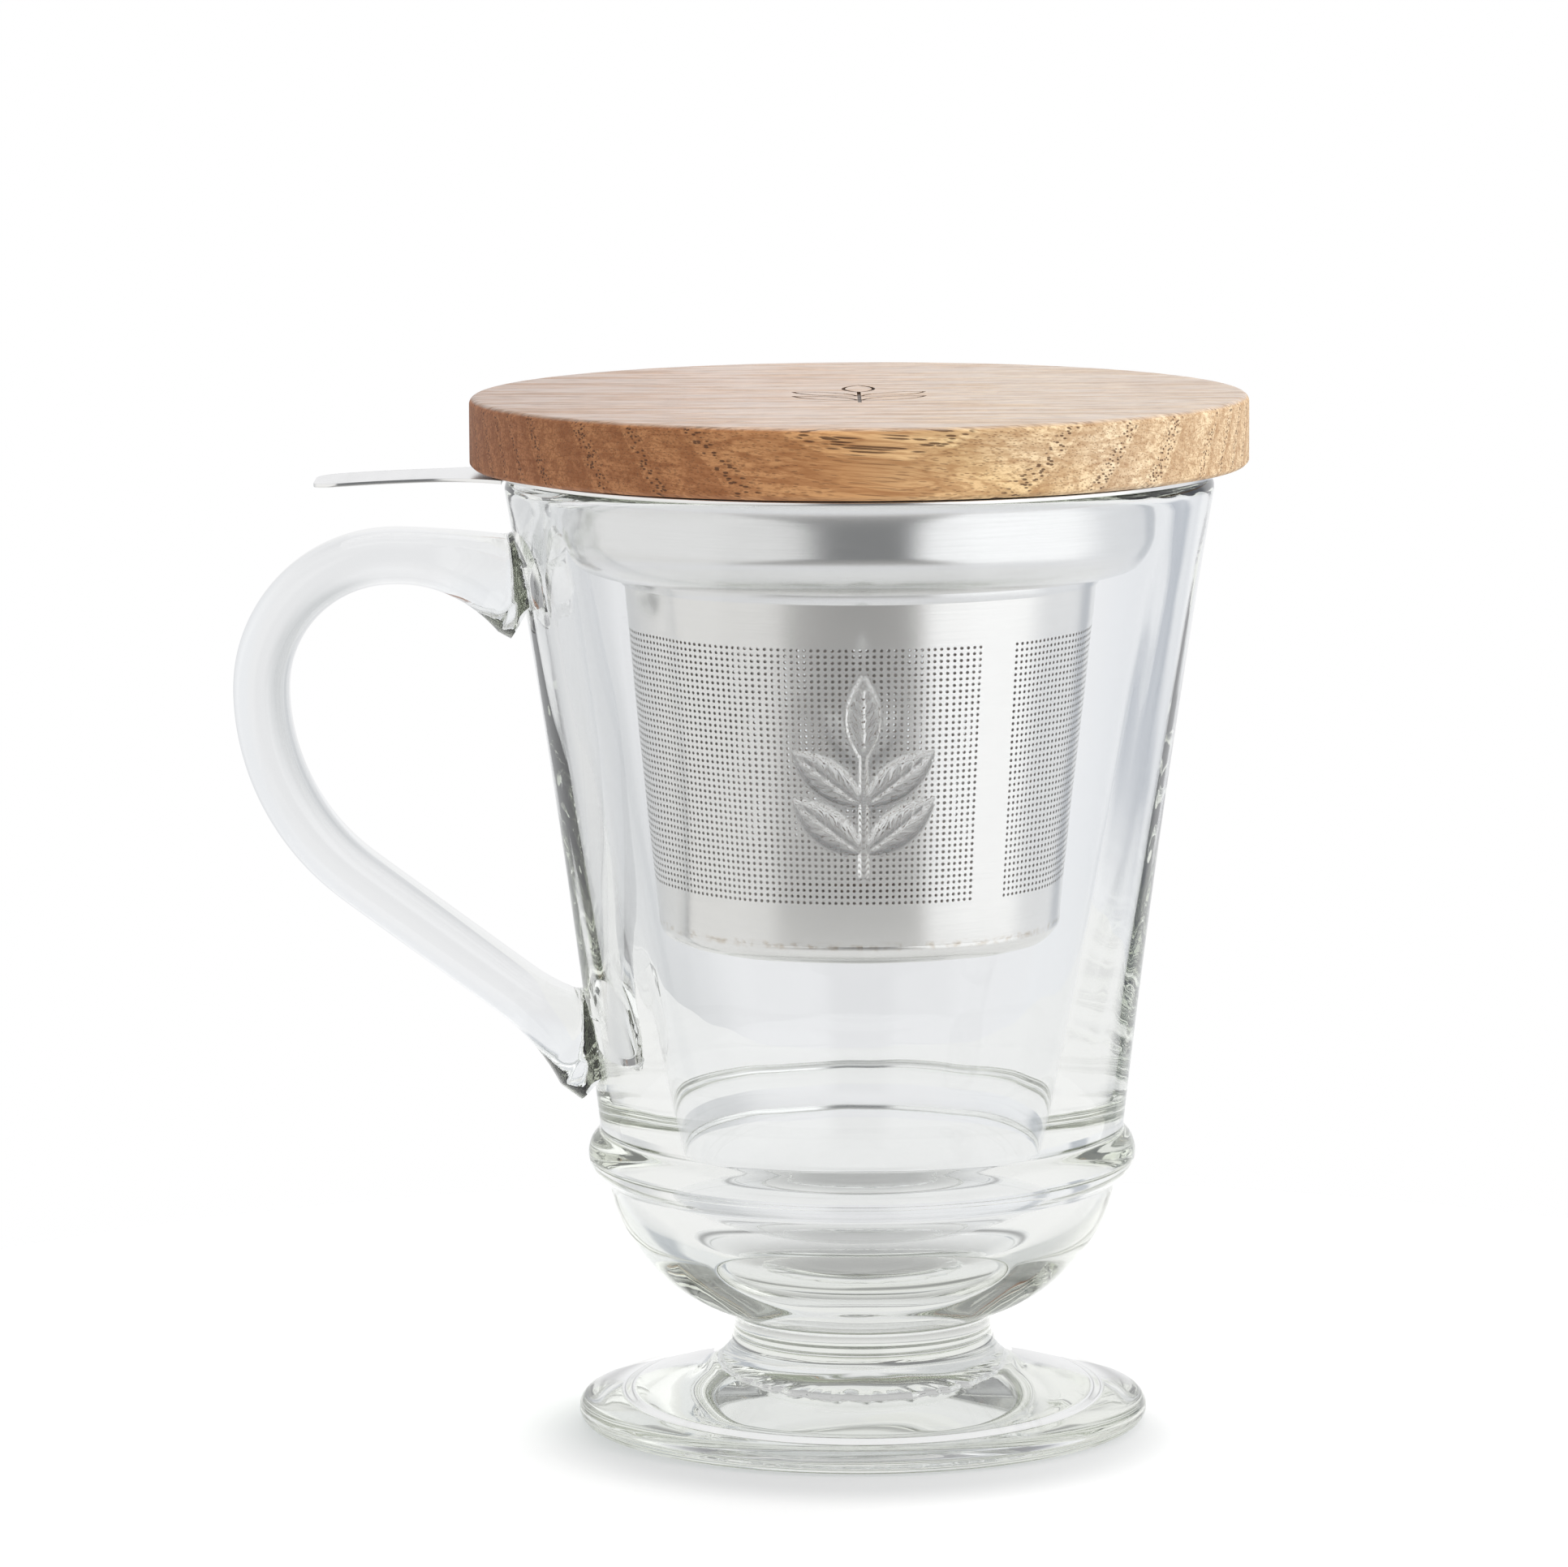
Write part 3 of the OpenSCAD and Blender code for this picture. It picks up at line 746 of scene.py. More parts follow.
def make_handle():
    """The handle's rounded section, swept along its centre line."""
    line = handle_line()
    heading = np.gradient(line, axis=0)
    heading /= np.hypot(*heading.T)[:, None]
    sides = HANDLE_SIDES
    a = 2 * np.pi * (np.arange(sides) + 0.5) / sides
    power = 2 / SECTION_POWER
    across = np.sign(np.sin(a)) * np.abs(np.sin(a)) ** power
    wide = np.sign(np.cos(a)) * np.abs(np.cos(a)) ** power
    verts = []
    for p, h in zip(line, heading):
        reach = ROOT_BLEND_TOP if p[1] > CORNER_C[1] else ROOT_BLEND_LOW
        share = np.clip(1 - (p[0] - outer_r(p[1])) / reach, 0, 1) ** 2
        half_t = (HANDLE_THICK + ROOT_FLARE * share) / 2
        half_w = (HANDLE_WIDTH + ROOT_SPREAD * share) / 2
        r = p[0] - half_t * across * h[1]
        z = p[1] + half_t * across * h[0]
        y = half_w * wide
        # Near the wall the section grows into a fillet.
        gap = np.hypot(r, y) - outer_r(z)
        inside = np.clip(ROOT_FILLET - gap, 0, ROOT_FILLET)
        grow = ROOT_FILLET - np.sqrt(ROOT_FILLET**2 - inside**2 * FILLET_FULL)
        span = np.hypot(half_t * across, half_w * wide)
        r = np.minimum(r - grow * (half_t * across / span) * h[1], FARTHEST)
        z = z + grow * (half_t * across / span) * h[0]
        y = y + grow * wide * half_w / span
        verts.extend(np.stack([-r, y, z], 1).tolist())
    faces = []
    count = len(line)
    for i in range(count - 1):
        for k in range(sides):
            n = (k + 1) % sides
            faces.append([i * sides + k, (i + 1) * sides + k, (i + 1) * sides + n, i * sides + n])
    faces.append(list(range(sides)))
    faces.append([count * sides - 1 - k for k in range(sides)])
    handle = make_object("handle_sweep", verts, faces)
    tidy_mesh(handle)
    return handle


COARSE = 192       # columns of the glass
FINE_SPLIT = 7     # fine columns in one coarse one
FINE_SPAN = 8      # coarse columns to each side of the front that are split
FINE_ROW = 0.27    # height of a row of faces over the sprig


# Waves round the axis: height, count, phase, and how far up the phase turns by 1.
WALL_WAVES = ((0.035, 9, 0.6, math.inf), (0.03, 17, 2.1, 40), (0.016, 31, 0.4, -25))
FOOT_WAVES = ((1.0, 19, 0.5, math.inf), (0.8, 31, 1.9, math.inf), (0.6, 53, 0.2, math.inf))
RIPPLE_OUT = 0.2     # how far the foot's waves move the edge of its hollow
RIPPLE_UP = 0.12
SWELL = 0.05


def waves(turn, z, terms):
    return sum(height * np.sin(count * turn + phase + z / rise)
               for height, count, phase, rise in terms)


def glass_waves(r, turn, z):
    """Slight unevenness of pressed glass, on its inside and underside."""
    inner = (z > FLOOR_Z - 0.5) & (z < RIM_Z) & (r < outer_r(z) - RIM_WALL / 2)
    level = np.clip((z - FLOOR_Z) / 25, 0, 1) * np.clip((RIM_Z - z) / 12, 0, 1)
    r = np.where(inner, r + waves(turn, z, WALL_WAVES) * level, r)
    under = (z < KICK_H + 0.2) & (r < REST_R)
    edge = np.exp(-(((r - KICK_R + 0.4) / 1.2) ** 2))
    ripple = waves(turn, z, FOOT_WAVES)
    r = np.where(under, r + RIPPLE_OUT * ripple * edge, r)
    z = np.where(under & (z > RECESS_H + 0.2), z + RIPPLE_UP * ripple * edge, z)
    swell = SWELL * np.sin(5 * turn + r / 3) * np.clip(r / 6, 0, 1)
    z = np.where(under & (z > 0.3), z + swell, z)
    return r, z


def make_glass():
    band = (GLASS_H - SPRIG_DROP - SPRIG_LEN / 2 - 1, GLASS_H - SPRIG_DROP + SPRIG_LEN / 2 + 1)

    def dense(p):
        outside = p[:, 0] > outer_r(p[:, 1]) - 0.5
        return outside & (p[:, 1] > band[0]) & (p[:, 1] < band[1])

    outline = thinned(softened(glass_outline(), 0.4), 6.0, 2.6, dense, FINE_ROW)
    outline[0, 0] = outline[-1, 0] = 0
    coarse = full_circle(COARSE)
    fine = []
    for k in range(COARSE):
        split = FINE_SPLIT if k < FINE_SPAN or k >= COARSE - FINE_SPAN else 1
        fine += [(k, coarse[k] + s * 2 * math.pi / COARSE / split) for s in range(split)]
    fine_turns = np.array([t for _, t in fine])
    owner = [k for k, _ in fine]

    is_fine = dense(outline)
    verts, rows = [], []
    for (r, z), split in zip(outline, is_fine):
        start = len(verts)
        if r < 1e-6:
            verts.append((0.0, 0.0, z))
            rows.append((start, 1))
            continue
        turns = fine_turns if split else coarse
        radius, height = glass_waves(np.full(len(turns), r), turns, np.full(len(turns), z))
        if split:
            x = radius * np.sin(turns)
            front = np.cos(turns) > 0
            relief = sprig_height(x, z - (GLASS_H - SPRIG_DROP))
            radius = radius + np.where(front, relief, 0.0)
        verts.extend(around(radius, turns, height).tolist())
        rows.append((start, len(turns)))

    # The first fine column of each coarse one, for where a coarse row meets a fine one.
    first = {}
    for i, k in enumerate(owner):
        first.setdefault(k, i)
    faces = []
    for (a, na), (b, nb) in zip(rows, rows[1:]):
        if na == nb:
            for k in range(na):
                n = (k + 1) % na
                faces.append([a + k, a + n, b + n, b + k])
        elif 1 in (na, nb):
            count = max(na, nb)
            for k in range(count):
                n = (k + 1) % count
                faces.append([a, b + n, b + k] if na == 1 else [a + k, a + n, b])
        else:
            for k in range(COARSE):
                n = (k + 1) % COARSE
                f0 = first[k]
                f1 = first[n] if n else len(fine)
                run = [f % len(fine) for f in range(f0, f1 + 1)]
                if na < nb:
                    faces.append([a + k, a + n] + [b + f for f in reversed(run)])
                else:
                    faces.append([a + f for f in run] + [b + n, b + k])
    glass = make_object("glass_mug", verts, faces)
    tidy_mesh(glass)
    combine(glass, make_handle(), "UNION")
    smoothen(glass, 40)
    return glass


def clear_glass():
    net = Finish("clear_pressed_glass")
    swell = net.noise(net.point(), 0.06, 1.0)
    skin = net.bump(swell, 0.12, 0.5)
    glass = net.principled(
        Base_Color=(0.94, 0.945, 0.955), Roughness=0.0, IOR=1.5, Transmission_Weight=1.0,
        Normal=skin)
    lets_by = net.node("ShaderNodeBsdfTransparent", None, {"Color": (0.84, 0.87, 0.86, 1.0)})
    rays = net.node("ShaderNodeLightPath", out="Is Shadow Ray")
    surface = net.node("ShaderNodeMixShader", None, {0: rays, 1: glass, 2: lets_by})
    depth = net.node("ShaderNodeVolumeAbsorption", None,
                     {"Color": (0.62, 0.68, 0.48, 1.0), "Density": 4.0})
    return net.done(surface, depth)


# ==== Infuser ====
LIP_ROUND = 0.35
TAB_COLUMNS = 24     # columns of faces across the tab
REST_COLUMNS = 219   # and round the rest of the rim
EDGE_BEVEL = 0.12    # on the cut edges of the sheet


def make_rim():
    """The pressed rim, collar and tab: one sheet that gets its thickness last."""
    low_c = (COLLAR_R - COLLAR_CORNER, SHOULDER_Z + COLLAR_CORNER)
    bend_c = (COLLAR_R + COLLAR_BEND, GLASS_H - COLLAR_BEND)
    outline = [(sleeve_r(LIP_Z) + RIM_SHEET, LIP_Z)]
    lip_c = (sleeve_r(SHOULDER_Z) + RIM_SHEET + LIP_ROUND, SHOULDER_Z - LIP_ROUND)
    outline += arc(lip_c, LIP_ROUND, 180, 90, 5)
    outline += arc(low_c, COLLAR_CORNER, -90, 0, 20)
    outline += arc(bend_c, COLLAR_BEND, 180, 90, 10)
    outline += [(FLANGE_R, GLASS_H)]

    # The flare of the tab is an arc that leaves the edge of the rim at root_y.
    flare_y = TAB_W / 2 + TAB_FLARE
    flare_x = math.sqrt(FLANGE_R**2 - flare_y**2) + TAB_FLARE
    apart = math.hypot(flare_x, flare_y)
    along = (FLANGE_R**2 - TAB_FLARE**2 + apart**2) / (2 * apart)
    aside = math.sqrt(FLANGE_R**2 - along**2)
    root_y = (along * flare_y - aside * flare_x) / apart
    flare_start = math.degrees(math.asin((flare_y - root_y) / TAB_FLARE))
    start_x = flare_x - TAB_FLARE * cosd(flare_start)

    # Columns of the tab's sector lie where the tab's rows start on the rim.
    across = np.linspace(-1, 1, TAB_COLUMNS + 1)
    sector = -math.pi / 2 + np.arcsin(across * root_y / FLANGE_R)
    rest = np.linspace(sector[-1], sector[0] + 2 * math.pi, REST_COLUMNS + 1)[1:-1]
    turns = np.concatenate([sector, rest])
    verts, faces = lathe(outline, turns)
    edge = len(verts) - len(turns)

    tip = TAB_REACH - TAB_CORNER
    stations = [("flare", a) for a in np.linspace(flare_start, 90, 16)[1:]]
    stations += [("side", x) for x in np.linspace(flare_x, tip, 8)[1:]]
    stations += [("corner", a) for a in np.linspace(0, 90, 9)[1:]]
    previous = list(range(edge, edge + len(across)))
    for kind, value in stations:
        start = len(verts)
        for v in across:
            if kind == "flare":
                share = (flare_x - TAB_FLARE * cosd(value) - start_x) / (flare_x - start_x)
                from_x = math.sqrt(FLANGE_R**2 - (v * root_y) ** 2)
                x = from_x + (flare_x - from_x) * share
                y = v * (flare_y - TAB_FLARE * sind(value))
            elif kind == "side":
                x, y = value, v * TAB_W / 2
            else:
                half = TAB_W / 2 - TAB_CORNER * (1 - cosd(value))
                x, y = tip + TAB_CORNER * sind(value), v * half
            drop = TAB_BOW - math.sqrt(TAB_BOW**2 - max(0.0, x - FLANGE_R) ** 2)
            verts.append((-x, y, GLASS_H - drop))
        for k in range(len(across) - 1):
            faces.append([previous[k], previous[k + 1], start + k + 1, start + k])
        previous = list(range(start, start + len(across)))

    rim = make_object("infuser_collar", verts, faces)
    tidy_mesh(rim, 1e-7)
    up = sum(p.normal.z * p.area for p in rim.data.polygons if p.center.z > (GLASS_H - 0.05) * MM)
    wall = rim.modifiers.new("sheet", "SOLIDIFY")
    wall.thickness = RIM_SHEET * MM
    wall.offset = 1.0 if up > 0 else -1.0
    wall.use_quality_normals = True
    bevel = rim.modifiers.new("edges", "BEVEL")
    bevel.width = EDGE_BEVEL * MM
    bevel.segments = 2
    bevel.limit_method = "ANGLE"
    bevel.angle_limit = math.radians(50)
    apply_modifiers(rim)
    smoothen(rim, 35)
    return rim


def make_base():
    corner = (SLEEVE_LOW_R - BASE_CORNER, BASKET_Z + BASE_CORNER)
    outline = [(0, BASKET_Z + SLEEVE_SHEET)]
    outline += arc(corner, BASE_CORNER - SLEEVE_SHEET, -90, 0, 12)
    outline += [(SLEEVE_LOW_R - SLEEVE_SHEET, JOINT_Z), (SLEEVE_LOW_R, JOINT_Z)]
    outline += arc(corner, BASE_CORNER, 0, -90, 12)
    outline += [(0, BASKET_Z)]
    shape = thinned(softened(outline, 0.06, 0.02), 9.0, 2.5)
    shape[0, 0] = shape[-1, 0] = 0
    return turned_solid("infuser_pan", shape, RING_COLUMNS, 35)


HOLE_COLUMNS = 67    # in one panel
HOLE_ROWS = 42
HOLE_TURN = 1.66     # degrees from hole to hole
HOLE_STEP = 0.83     # from row to row
HOLE_D = 0.45
HOLE_SIDES = 8
PANELS = 3
PLAIN_ROWS = 4       # rows of faces in the plain metal under and over the holes
STRIP_COLUMNS = 8    # columns of faces in a plain strip
LOWEST_HOLE = 75.5
STRIP_CENTRE = 34.6  # turn of the plain strip at the right of the front


def panel_sizes(n, material):
    """The inputs of panel n. Lengths along the sheet are in steps of one hole."""
    panel_turn = 360 / PANELS
    first_row = LOWEST_HOLE - HOLE_STEP / 2
    strip = panel_turn / HOLE_TURN - HOLE_COLUMNS
    end = STRIP_CENTRE - strip * HOLE_TURN / 2 + n * panel_turn
    return {
        "Columns": HOLE_COLUMNS,
        "Rows": HOLE_ROWS,
        "Hole diameter": HOLE_D,
        "Hole sides": HOLE_SIDES,
        "Step up": HOLE_STEP,
        "Step round": HOLE_TURN,
        "Plain below": (first_row - JOINT_Z) / HOLE_STEP,
        "Plain above": (SHOULDER_Z - first_row) / HOLE_STEP - HOLE_ROWS,
        "Strip width": strip,
        "Strip columns": STRIP_COLUMNS,
        "Sheet": SLEEVE_SHEET,
        "Turn": end - HOLE_COLUMNS * HOLE_TURN,
        "First row": first_row,
        "Low radius": SLEEVE_LOW_R,
        "Taper": (SLEEVE_TOP_R - SLEEVE_LOW_R) / (SHOULDER_Z - JOINT_Z),
        "Foot": JOINT_Z,
        "Finish": material,
    }


def perforated_tree(sizes):
    """Geometry nodes for one panel of the sleeve with the plain metal around it.
    It is laid out flat, in steps of one hole, and then rolled into the cone."""
    tree = bpy.data.node_groups.new("perforated_panel", "GeometryNodeTree")
    kinds = {int: "NodeSocketInt", float: "NodeSocketFloat"}
    for name, value in sizes.items():
        kind = kinds.get(type(value), "NodeSocketMaterial")
        tree.interface.new_socket(name, in_out="INPUT", socket_type=kind)
    tree.interface.new_socket("Geometry", in_out="OUTPUT", socket_type="NodeSocketGeometry")
    net = Net(tree)
    given = net.node("NodeGroupInput", out=None)
    want = {s.name: Wire(net, s) for s in given.outputs if s.name}

    def grid(columns, rows, left, low, width, height):
        """A flat grid of columns by rows cells, from its lower left corner."""
        flat = net.node("GeometryNodeMeshGrid", None, {
            "Vertices X": columns + 1, "Vertices Y": rows + 1, "Size X": width, "Size Y": height})
        return net.node("GeometryNodeTransform", None, {
            "Geometry": flat,
            "Translation": net.joined(left + width * 0.5, low + height * 0.5, 0.0)})

    # One cell with its hole, put at the middle of every cell of the panel.
    square = net.node("GeometryNodeCurvePrimitiveQuadrilateral", None,
                      {"Width": 1.0, "Height": 1.0})
    hole = net.node("GeometryNodeCurvePrimitiveCircle", None, {
        "Resolution": want["Hole sides"],
        "Radius": want["Hole diameter"] / want["Step up"] * 0.5})
    outline = net.node("GeometryNodeJoinGeometry", None, {0: [hole, square]})
    cell = net.node("GeometryNodeFillCurve", None, {"Curve": outline})
    spots = net.node("GeometryNodeMeshGrid", None, {
        "Vertices X": want["Columns"], "Vertices Y": want["Rows"],
        "Size X": want["Columns"] - 1.0, "Size Y": want["Rows"] - 1.0})
    spots = net.node("GeometryNodeTransform", None, {
        "Geometry": spots,
        "Translation": net.joined(want["Columns"] * 0.5, want["Rows"] * 0.5, 0.0)})
    cells = net.node("GeometryNodeInstanceOnPoints", None, {"Points": spots, "Instance": cell})
    cells = net.node("GeometryNodeRealizeInstances", None, {"Geometry": cells})

    parts = [cells]
    for columns, left, width in (
            (want["Columns"], 0.0, want["Columns"]),
            (want["Strip columns"], want["Columns"], want["Strip width"])):
        below, above = want["Plain below"], want["Plain above"]
        parts.append(grid(columns, PLAIN_ROWS, left, below * -1.0, width, below))
        parts.append(grid(columns, PLAIN_ROWS, left, want["Rows"], width, above))
    parts.append(grid(want["Strip columns"], want["Rows"], want["Columns"], 0.0,
                      want["Strip width"], want["Rows"]))
    flat = net.node("GeometryNodeJoinGeometry", None, {0: parts})
    flat = net.node("GeometryNodeMergeByDistance", None, {"Geometry": flat, "Distance": 0.01})

    # Both skins and the walls of the holes between them.
    lifted = net.node("GeometryNodeExtrudeMesh", {"mode": "FACES"}, {
        "Mesh": flat, "Offset": net.joined(0.0, 0.0, 1.0), "Offset Scale": 1.0,
        "Individual": False})
    under = net.node("GeometryNodeFlipFaces", None, {"Mesh": flat})
    sheet = net.node("GeometryNodeJoinGeometry", None, {0: [lifted, under]})
    sheet = net.node("GeometryNodeMergeByDistance", None, {"Geometry": sheet, "Distance": 0.01})

    # Rolled: the first number is the step round, the second the step up, the third the skin.
    u, v, w = net.axes(net.node("GeometryNodeInputPosition"))
    turn = (want["Turn"] + u * want["Step round"]) * (math.pi / 180)
    height = want["First row"] + v * want["Step up"]
    radius = (want["Low radius"] + want["Taper"] * (height - want["Foot"])
              - (1.0 - w) * want["Sheet"])
    rolled = net.joined(turn.maths("SINE") * radius * MM, turn.maths("COSINE") * radius * -MM,
                        height * MM)
    sheet = net.node("GeometryNodeSetPosition", None, {"Geometry": sheet, "Position": rolled})
    sheet = net.node("GeometryNodeSetMaterial", None,
                     {"Geometry": sheet, "Material": want["Finish"]})
    net.node("NodeGroupOutput", None, {0: sheet}, out=None)
    return tree


def make_sleeve(material):
    tree = perforated_tree(panel_sizes(0, material))
    pieces = []
    for n in range(PANELS):
        values = panel_sizes(n, material)
        name = "sleeve_panel_%d" % (n + 1)
        piece = bpy.data.objects.new(name, bpy.data.meshes.new(name))
        bpy.context.scene.collection.objects.link(piece)
        modifier = piece.modifiers.new("panel", "NODES")
        modifier.node_group = tree
        for item in tree.interface.items_tree:
            if item.in_out == "INPUT":
                modifier[item.identifier] = values[item.name]
        apply_modifiers(piece)
        smoothen(piece, 40)
        pieces.append(piece)
    return pieces


# ==== Lid ====
def leaf_outline(inset, steps=14):
    """A leaf from its base at the origin to its tip on +Y, as the CAD draws it."""
    curve_r = ((LEAF_LEN / 2) ** 2 + (LEAF_W / 2) ** 2) / LEAF_W
    offset = curve_r - LEAF_W / 2
    radius = curve_r - inset
    half_angle = math.degrees(math.acos(offset / radius))
    right = arc((-offset, 0), radius, -half_angle, half_angle, steps)
    left = arc((offset, 0), radius, 180 - half_angle, 180 + half_angle, steps)
    return np.array(right[:-1] + left[:-1]) + (0, LEAF_LEN / 2)


def prism_ring(name, outer, inner, low, high):
    """A closed ring between two outlines with the same number of points."""
    n = len(outer)
    verts = [(x, y, z) for z in (low, high) for loop in (outer, inner) for x, y in loop]
    faces = []
    for k in range(n):
        m = (k + 1) % n
        o0, o1, i0, i1 = k, m, n + k, n + m
        O0, O1, I0, I1 = 2 * n + k, 2 * n + m, 3 * n + k, 3 * n + m
        faces += [[o0, o1, O1, O0], [i1, i0, I0, I1], [o1, o0, i0, i1], [O0, O1, I1, I0]]
    cutter = make_object(name, verts, faces)
    tidy_mesh(cutter)
    return cutter


def turned(points, angle, shift):
    a = math.radians(angle)
    turn = np.array([[math.cos(a), -math.sin(a)], [math.sin(a), math.cos(a)]])
    return np.asarray(points) @ turn.T + shift


def make_lid():
    outline = [(0, SPIGOT_Z), (SPIGOT_R + KEEPER_PROUD, SPIGOT_Z),
               (SPIGOT_R + KEEPER_PROUD, SPIGOT_Z + KEEPER_H), (SPIGOT_R, SPIGOT_Z + KEEPER_H),
               (SPIGOT_R, LID_Z), (LID_R - LID_BEVEL, LID_Z), (LID_R, LID_Z + LID_BEVEL)]
    outline += arc((LID_R - LID_ROUND, LID_TOP - LID_ROUND), LID_ROUND, 0, 90, 12)
    outline += [(0, LID_TOP)]
    shape = thinned(softened(outline, 0.12), 10.0, 4.0)
    shape[0, 0] = shape[-1, 0] = 0
    lid = turned_solid("lid_oak", shape, LID_COLUMNS)
    low, high = LID_TOP - ENGRAVE_H, LID_TOP + 1
    stem_len = SPRIG_LEN - LEAF_LEN
    bottom = -SPRIG_LEN / 2
    places = [(0, bottom + stem_len)]
    places += [(side * LEAF_ANGLE, bottom + share * stem_len)
               for share in (PAIR_LOW, PAIR_HIGH) for side in (-1, 1)]
    outer, inner = leaf_outline(0.0), leaf_outline(ENGRAVE_W)
    for n, (angle, base) in enumerate(places):
        cutter = prism_ring("leaf_cut_%d" % n, turned(outer, angle, (0, base)),
                            turned(inner, angle, (0, base)), low, high)
        combine(lid, cutter, "DIFFERENCE")
    half = ENGRAVE_W / 2
    stem = [(-half, bottom), (half, bottom), (half, bottom + stem_len + STEM_W),
            (-half, bottom + stem_len + STEM_W)]
    verts = [(x, y, z) for z in (low, high) for x, y in stem]
    faces = [[0, 3, 2, 1], [4, 5, 6, 7], [0, 1, 5, 4], [1, 2, 6, 5], [2, 3, 7, 6], [3, 0, 4, 7]]
    cutter = make_object("stem_cut", verts, faces)
    combine(lid, cutter, "DIFFERENCE")
    smoothen(lid, 35)
    return lid


def make_seal():
    outline = [(SPIGOT_R, LID_Z), (SPIGOT_R, SPIGOT_Z + KEEPER_H),
               (SPIGOT_R + SEAL_WALL, SPIGOT_Z + KEEPER_H)]
    rib_c = (SPIGOT_R + SEAL_WALL + RIB_PROUD - SEAL_RIB, RIB_Z)
    spread = math.degrees(math.acos((SEAL_RIB - RIB_PROUD) / SEAL_RIB))
    outline += arc(rib_c, SEAL_RIB, -spread, spread, 12)
    outline += [(SPIGOT_R + SEAL_WALL, RIM_TOP), (SEAL_R, RIM_TOP), (SEAL_R, LID_Z),
                (SPIGOT_R, LID_Z)]
    shape = thinned(softened(outline, 0.05, 0.02), 12.0, 4.0)
    shape[-1] = shape[0]
    return turned_solid("lid_gasket", shape, RING_COLUMNS, 40)


# ==== Finishes ====
def steel(name, tone, rough, stain=False):
    """Satin steel: fine lines round the axis, soft patches and fine grit in its bumps."""
    net = Finish(name)
    x, y, z = net.axes(net.point())
    turn = x.maths("ARCTAN2", y) * 40.0
    lines = net.noise_at(turn * 0.05, z * 6.0, 0.0)
    grit = net.noise(net.point(), 3.0, 2.0, 0.6)
    patches = net.noise(net.point(), 0.07, 2.0, 0.5)
    colour = net.mix(patches, [c * 0.96 for c in tone], [min(1.0, c * 1.03) for c in tone])
    colour = net.mix(lines.step(0.35, 0.7) * 0.35, colour, [c * 0.9 for c in tone])
    if stain:
        near_weld = z.bump_at(JOINT_Z, 0.8)
        blotch = net.noise_at(turn * 0.5, z * 0.8, 3.0, 3.0, 0.5).step(0.45, 0.7)
        colour = net.mix(near_weld * blotch * 0.6, colour, (0.52, 0.42, 0.3))
    roughness = lines * 0.12 + patches * 0.1 + (rough - 0.11)
    height = lines * 0.7 + grit * 0.3
    surface = net.principled(Base_Color=colour, Metallic=1.0, Roughness=roughness,
                             Normal=net.bump(height, 0.004, 0.6))
    return net.done(surface)


PITH_Y = 94.0        # where the rings of the oak have their centre
PITH_Z = 80.0
YEAR = 5.12          # width of one ring
FIRST_RING = 152.5   # radius of the ring that shows first at the front
EARLY_SHARE = 0.12
GRAIN_ASIDE = 0.028  # how far the grain runs aside and down for each step along X
GRAIN_DOWN = 0.065
CLOSE_R = 133.5      # about this radius the rings are moved towards the pith
CLOSE_SPAN = 11.0
CLOSE_SHIFT = 2.8


